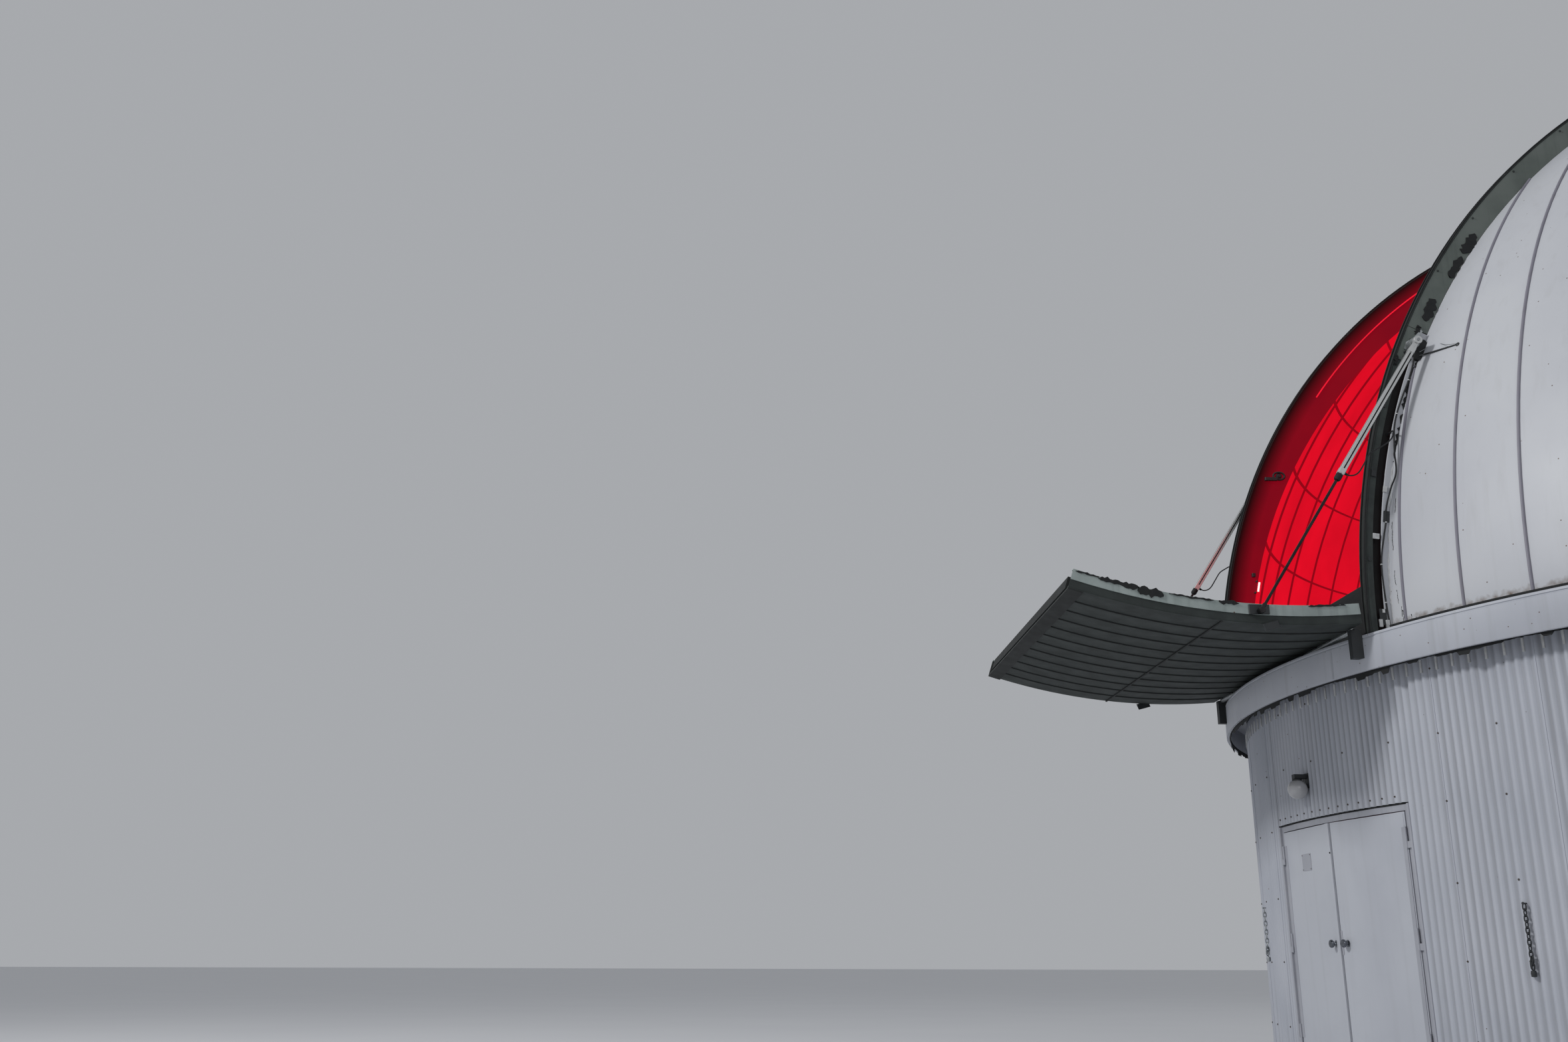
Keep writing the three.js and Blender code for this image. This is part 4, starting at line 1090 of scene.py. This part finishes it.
def slotted_square(half, corner, slot_deep):
    """A square with cut corners and a 10 mm slot in the middle of each side, as (u, v) points."""
    slot_half = 0.005
    sides = [np.array([(-half + corner, half), (-slot_half, half), (-slot_half, half - slot_deep),
                       (slot_half, half - slot_deep), (slot_half, half), (half - corner, half)])]
    quarter = np.array([[0, -1], [1, 0]])
    for _ in range(3):
        sides.append(sides[-1] @ quarter)
    return np.concatenate(sides)


def along_actuator(outlines, distances):
    """Carries (u, v) outlines along the actuator's line: u sideways, v square to it."""
    outlines = np.asarray(outlines, float)
    centres = mount_at + np.asarray(distances)[:, None] * way
    return swept(centres[:, None] + outlines[..., :1] * SIDEWAYS + outlines[..., 1:] * SQUARE)


profile = slotted_square(0.0225, 0.003, 0.008)
neck = slotted_square(0.019, 0.003, 0.001)
sleeve = slotted_square(0.0245, 0.004, 0.001)
core = slotted_square(0.0152, 0.001, 0.0001)
put_pair("actuator_profile_{}", [
    along_actuator([neck, profile, profile], [0.024, 0.075, BODY_END]),
    along_actuator([sleeve, sleeve], [0.078, 0.120]),
    along_actuator([sleeve, sleeve], [BODY_END - 0.050, BODY_END - 0.006]),
    turned([(0.012, -0.028), (0.030, -0.028), (0.032, -0.024), (0.032, 0.024), (0.030, 0.028),
            (0.012, 0.028)], mount_at, SIDEWAYS, 28)],
    ALUMINIUM, "actuator_{}", sharp=30, replaces=("actuator_cylinder_{}",))
put_pair("actuator_collar_{}", turned([
    (0.0125, BODY_END), (0.024, BODY_END), (0.026, BODY_END + 0.006), (0.026, BODY_END + 0.040),
    (0.020, BODY_END + 0.052), (0.0125, BODY_END + 0.054)], mount_at, way, 28), RUBBER, "actuator_{}")
slot_core = along_actuator([core, core], [0.125, BODY_END - 0.055])
put_pair("actuator_slot_core_{}", slot_core, RUBBER, "actuator_{}")
put_pair("actuator_rod_ground_{}", [
    turned([(0.0005, reach - ROD_LENGTH), (0.011, reach - ROD_LENGTH + 0.001), (0.011, reach - 0.060),
            (0.017, reach - 0.052), (0.017, reach - 0.020), (0.0005, reach - 0.019)], mount_at, way, 20),
    turned([(0.0005, -0.028), (0.022, -0.028), (0.024, -0.025), (0.024, 0.025), (0.022, 0.028),
            (0.0005, 0.028)], lug_at, SIDEWAYS, 24)],
    ROD_STEEL, "rod_{}", replaces=("actuator_rod_{}",))
# Tapered plate standing on the arch from the mount, with a black oval behind the boss as a painted shadow of
# the mount
put_pair("actuator_mount_plate_{}", [
    arch_plate([(5.120, 24.55), (5.185, 24.65), (5.190, 25.3), (5.150, 26.0), (5.120, 27.0), (5.104, 26.9),
                (5.106, 25.9), (5.110, 25.2)], ARCH_OUT + 0.003, ARCH_OUT + 0.012),
    arch_plate([(5.140, 24.75), (5.162, 24.75), (5.158, 25.8), (5.120, 26.7), (5.112, 26.6), (5.136, 25.6)],
               ARCH_OUT + 0.012, ARCH_OUT + 0.040)], GALVANISED)
angle = full_turn(24)
shadow_oval = np.stack([SHADOW_OVAL_R + 0.042 * np.cos(angle), MOUNT_EL + 1.0 * np.sin(angle)], -1)
put_pair("actuator_mount_pad_{}", arch_plate(shadow_oval, ARCH_OUT + 0.001, ARCH_OUT + 0.042), RUBBER)
# The stay between the mount and the gores, with a thin wire above it
stay_end = np.array([1.940, -4.489, 5.366])
stay_start = on_arc(1.614, 5.066, 24.4)
put_pair("dome_stay_{}", [
    tube(np.linspace(stay_start, stay_end, 3), 0.0065),
    turned([(0.016, -0.004), (0.016, 0.004), (0.009, 0.009)], stay_end, (0.366, -0.847, 0.385), 14)],
    DARK_STEEL)
put_pair("dome_stay_wire_{}", tube(smooth_path([
    stay_start + (0, 0, 0.03), stay_start + (0.06, 0.10, 0.075), stay_end + (-0.07, -0.05, 0.028),
    stay_end + (0, 0, 0.006)]), 0.0022, 6), GALVANISED)


# Short hoses from the arches to the actuators' ends, drawn in one pose and given no body

HOSE_R = 0.0055
HOSE_EL = 16.8
HOSE_EXIT_X = RECESS_OUT + 0.001
HOSE_EXIT_R = 5.120
hose_to = mount_at + way * (BODY_END - 0.028) - SQUARE * 0.0235
# Out of the arch and down beside it as (x, r, el), then a hook as (distance along the actuator, off it)
hose_route = [(HOSE_EXIT_X, HOSE_EXIT_R, HOSE_EL), (ARCH_OUT, HOSE_EXIT_R, HOSE_EL), (1.616, 5.121, 16.74),
              (1.648, 5.123, 16.42), (1.660, 5.131, 15.90), (1.665, 5.156, 15.38), (1.670, 5.196, 14.86),
              (1.676, 5.243, 14.36), (1.684, 5.290, 13.80)]
hose_hook = [(-0.168, 0.0885), (-0.120, 0.0890), (-0.088, 0.0885), (-0.0575, 0.0835), (-0.0295, 0.0690),
             (-0.0085, 0.0450), (-0.001, 0.020), (0.0, 0.0)]
hose_line = smooth_path([on_arc(*point) for point in hose_route]
                        + [hose_to + along * way - off * SQUARE for along, off in hose_hook], 6)
hose = tube(hose_line, HOSE_R, 12)
gland = [(0.012, 0.0), (0.012, 0.006), (0.0095, 0.008), (0.0095, 0.020), (0.0075, 0.023)]
put_pair("hose_gland_arch_{}", turned(gland, hose_line[0], SIDEWAYS, 12), DARK_STEEL)
put_pair("hose_gland_actuator_{}", turned(gland, hose_to, -SQUARE, 12), RUBBER, "actuator_{}")
for side, label in SIDES:
    piece = put(f"actuator_hose_{label}", on_side(hose, side), CABLE_SHEATH)
    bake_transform(piece)


# Chains on the wall

CHAIN_R = WALL_R + 0.034
LINK_PITCH = 0.036
WIRE_R = 0.0042


def link(centre, wide, half_w, half_h):
    """An oval of round wire about a centre, upright and as wide as a direction says."""
    t = full_turn(20)[:, None]
    return tube(centre + half_w * np.cos(t) * wide + half_h * np.sin(t) * UP, WIRE_R, 6, True)


def chain(az, top, links):
    """A hanging chain, every second link turned edge on.

    It ends in a weight, with three loose links beside it, and hangs from a nail.
    """
    out, along, _ = wall_axes(az)
    parts = []
    for k in range(links):
        centre = on_wall(CHAIN_R, az, top - LINK_PITCH * k)
        parts.append(link(centre, along if k % 2 == 0 else out, 0.012, 0.024))
    parts.append(turned([(0.001, -0.035), (0.016, -0.032), (0.018, -0.012), (0.015, 0.004), (0.001, 0.006)],
                        centre - 0.03 * UP, UP, 12))
    for k in range(3):
        centre = on_wall(CHAIN_R + 0.004, az + 0.12 - 0.10 * k, top - LINK_PITCH * (links - 2.2 + 0.5 * k))
        parts.append(link(centre, along + out, 0.013, 0.022))
    parts.append(turned([(0.0045, -0.036), (0.0045, 0.006), (0.009, 0.008), (0.009, 0.012), (0.001, 0.0125)],
                        on_wall(CHAIN_R, az, top + 0.022), out, 10))
    return parts


put("wall_chain_right", chain(25.65, 1.33, 11), DARK_STEEL, "building")
put("wall_chain_left", chain(-13.6, 1.43, 11), GALVANISED, "building")


# Finishes of the pieces that stay as they are

for finish, names in (
        (DOOR_PAINT, "door_astragal"),
        (FRAME_PAINT, "door_left_hinges door_right_hinges door_jamb_left door_jamb_right door_head"),
        (GALVANISED, "door_threshold lower_shutter_hinge_tube actuator_mount_left actuator_mount_right"),
        # The shutter's hinge brackets take the dark steel as painted shade
        (DARK_STEEL, "upper_shutter_runner_left upper_shutter_runner_right track_ring"
                     " shutter_hinge_bracket_left shutter_hinge_bracket_right"),
        # Tip rail and rib take the darker shutter paint, painted shade
        (SHUTTER_DARKER_SHADE, "lower_shutter_tip_rail lower_shutter_rib"),
        # The slit's sill is painted black as painted shade
        (ARCH_RECESS_SHADE, "slit_sill"),
        (DOME_SHEET, "dome_rear_strip"),
        (CONCRETE, "floor_slab"),
        (BOARD, "wall_over_door wall_segment_1 wall_segment_2 wall_segment_3 wall_segment_4"
                " wall_segment_5 wall_segment_6")):
    for name in names.split():
        nodes[name].material_slots[0].material = finish


# Stage, camera and light

STAGE_HALF = 400.0
floor_corners = np.array([(-1, -1, 0), (1, -1, 0), (1, 1, 0), (-1, 1, 0)]) * STAGE_HALF
put("studio_floor", shell(floor_corners, [(0, 1, 2, 3)]), PALE_FLOOR)

CAMERA_AT = Vector((11.554, -9.831, 0.965))
LOOK = Vector((-0.95505, 0.03593, 0.29425))
TILTED_UP = Vector((0.29393, -0.01390, 0.95573))
FOCAL_PX = 2171.0
IMAGE_W = 2359.0
camera_data = bpy.data.cameras.new("photo_view")
camera_data.sensor_width = 36.0
camera_data.lens = camera_data.sensor_width * FOCAL_PX / IMAGE_W
camera = new_object("photo_view", camera_data)
to_right = LOOK.cross(TILTED_UP).normalized()
to_top = to_right.cross(LOOK).normalized()
camera.matrix_world = (Matrix.Translation(CAMERA_AT)
                       @ Matrix((to_right, to_top, -LOOK)).transposed().to_4x4())
bpy.context.scene.camera = camera

world = bpy.data.worlds.new("soft_studio")
world.use_nodes = True
feed(world.node_tree, world.node_tree.nodes["Background"], {"Color": "E4E7EC", "Strength": 0.50})
bpy.context.scene.world = world

AIM = Vector((0, 0, 3.5))
for name, at, size, power in (("key", (5.6, -23.0, 14.4), 2.6, 2000), ("fill_right", (24, -4, 12), 10, 350),
                              ("fill_back", (-12, 22, 14), 12, 700)):
    # A square soft light, turned to the dome's middle
    light = bpy.data.lights.new(name, "AREA")
    light.size = size
    light.energy = power
    lamp = new_object(name, light)
    lamp.location = at
    lamp.rotation_euler = (AIM - Vector(at)).to_track_quat("-Z", "Y").to_euler()
bpy.context.scene.view_settings.view_transform = "Standard"
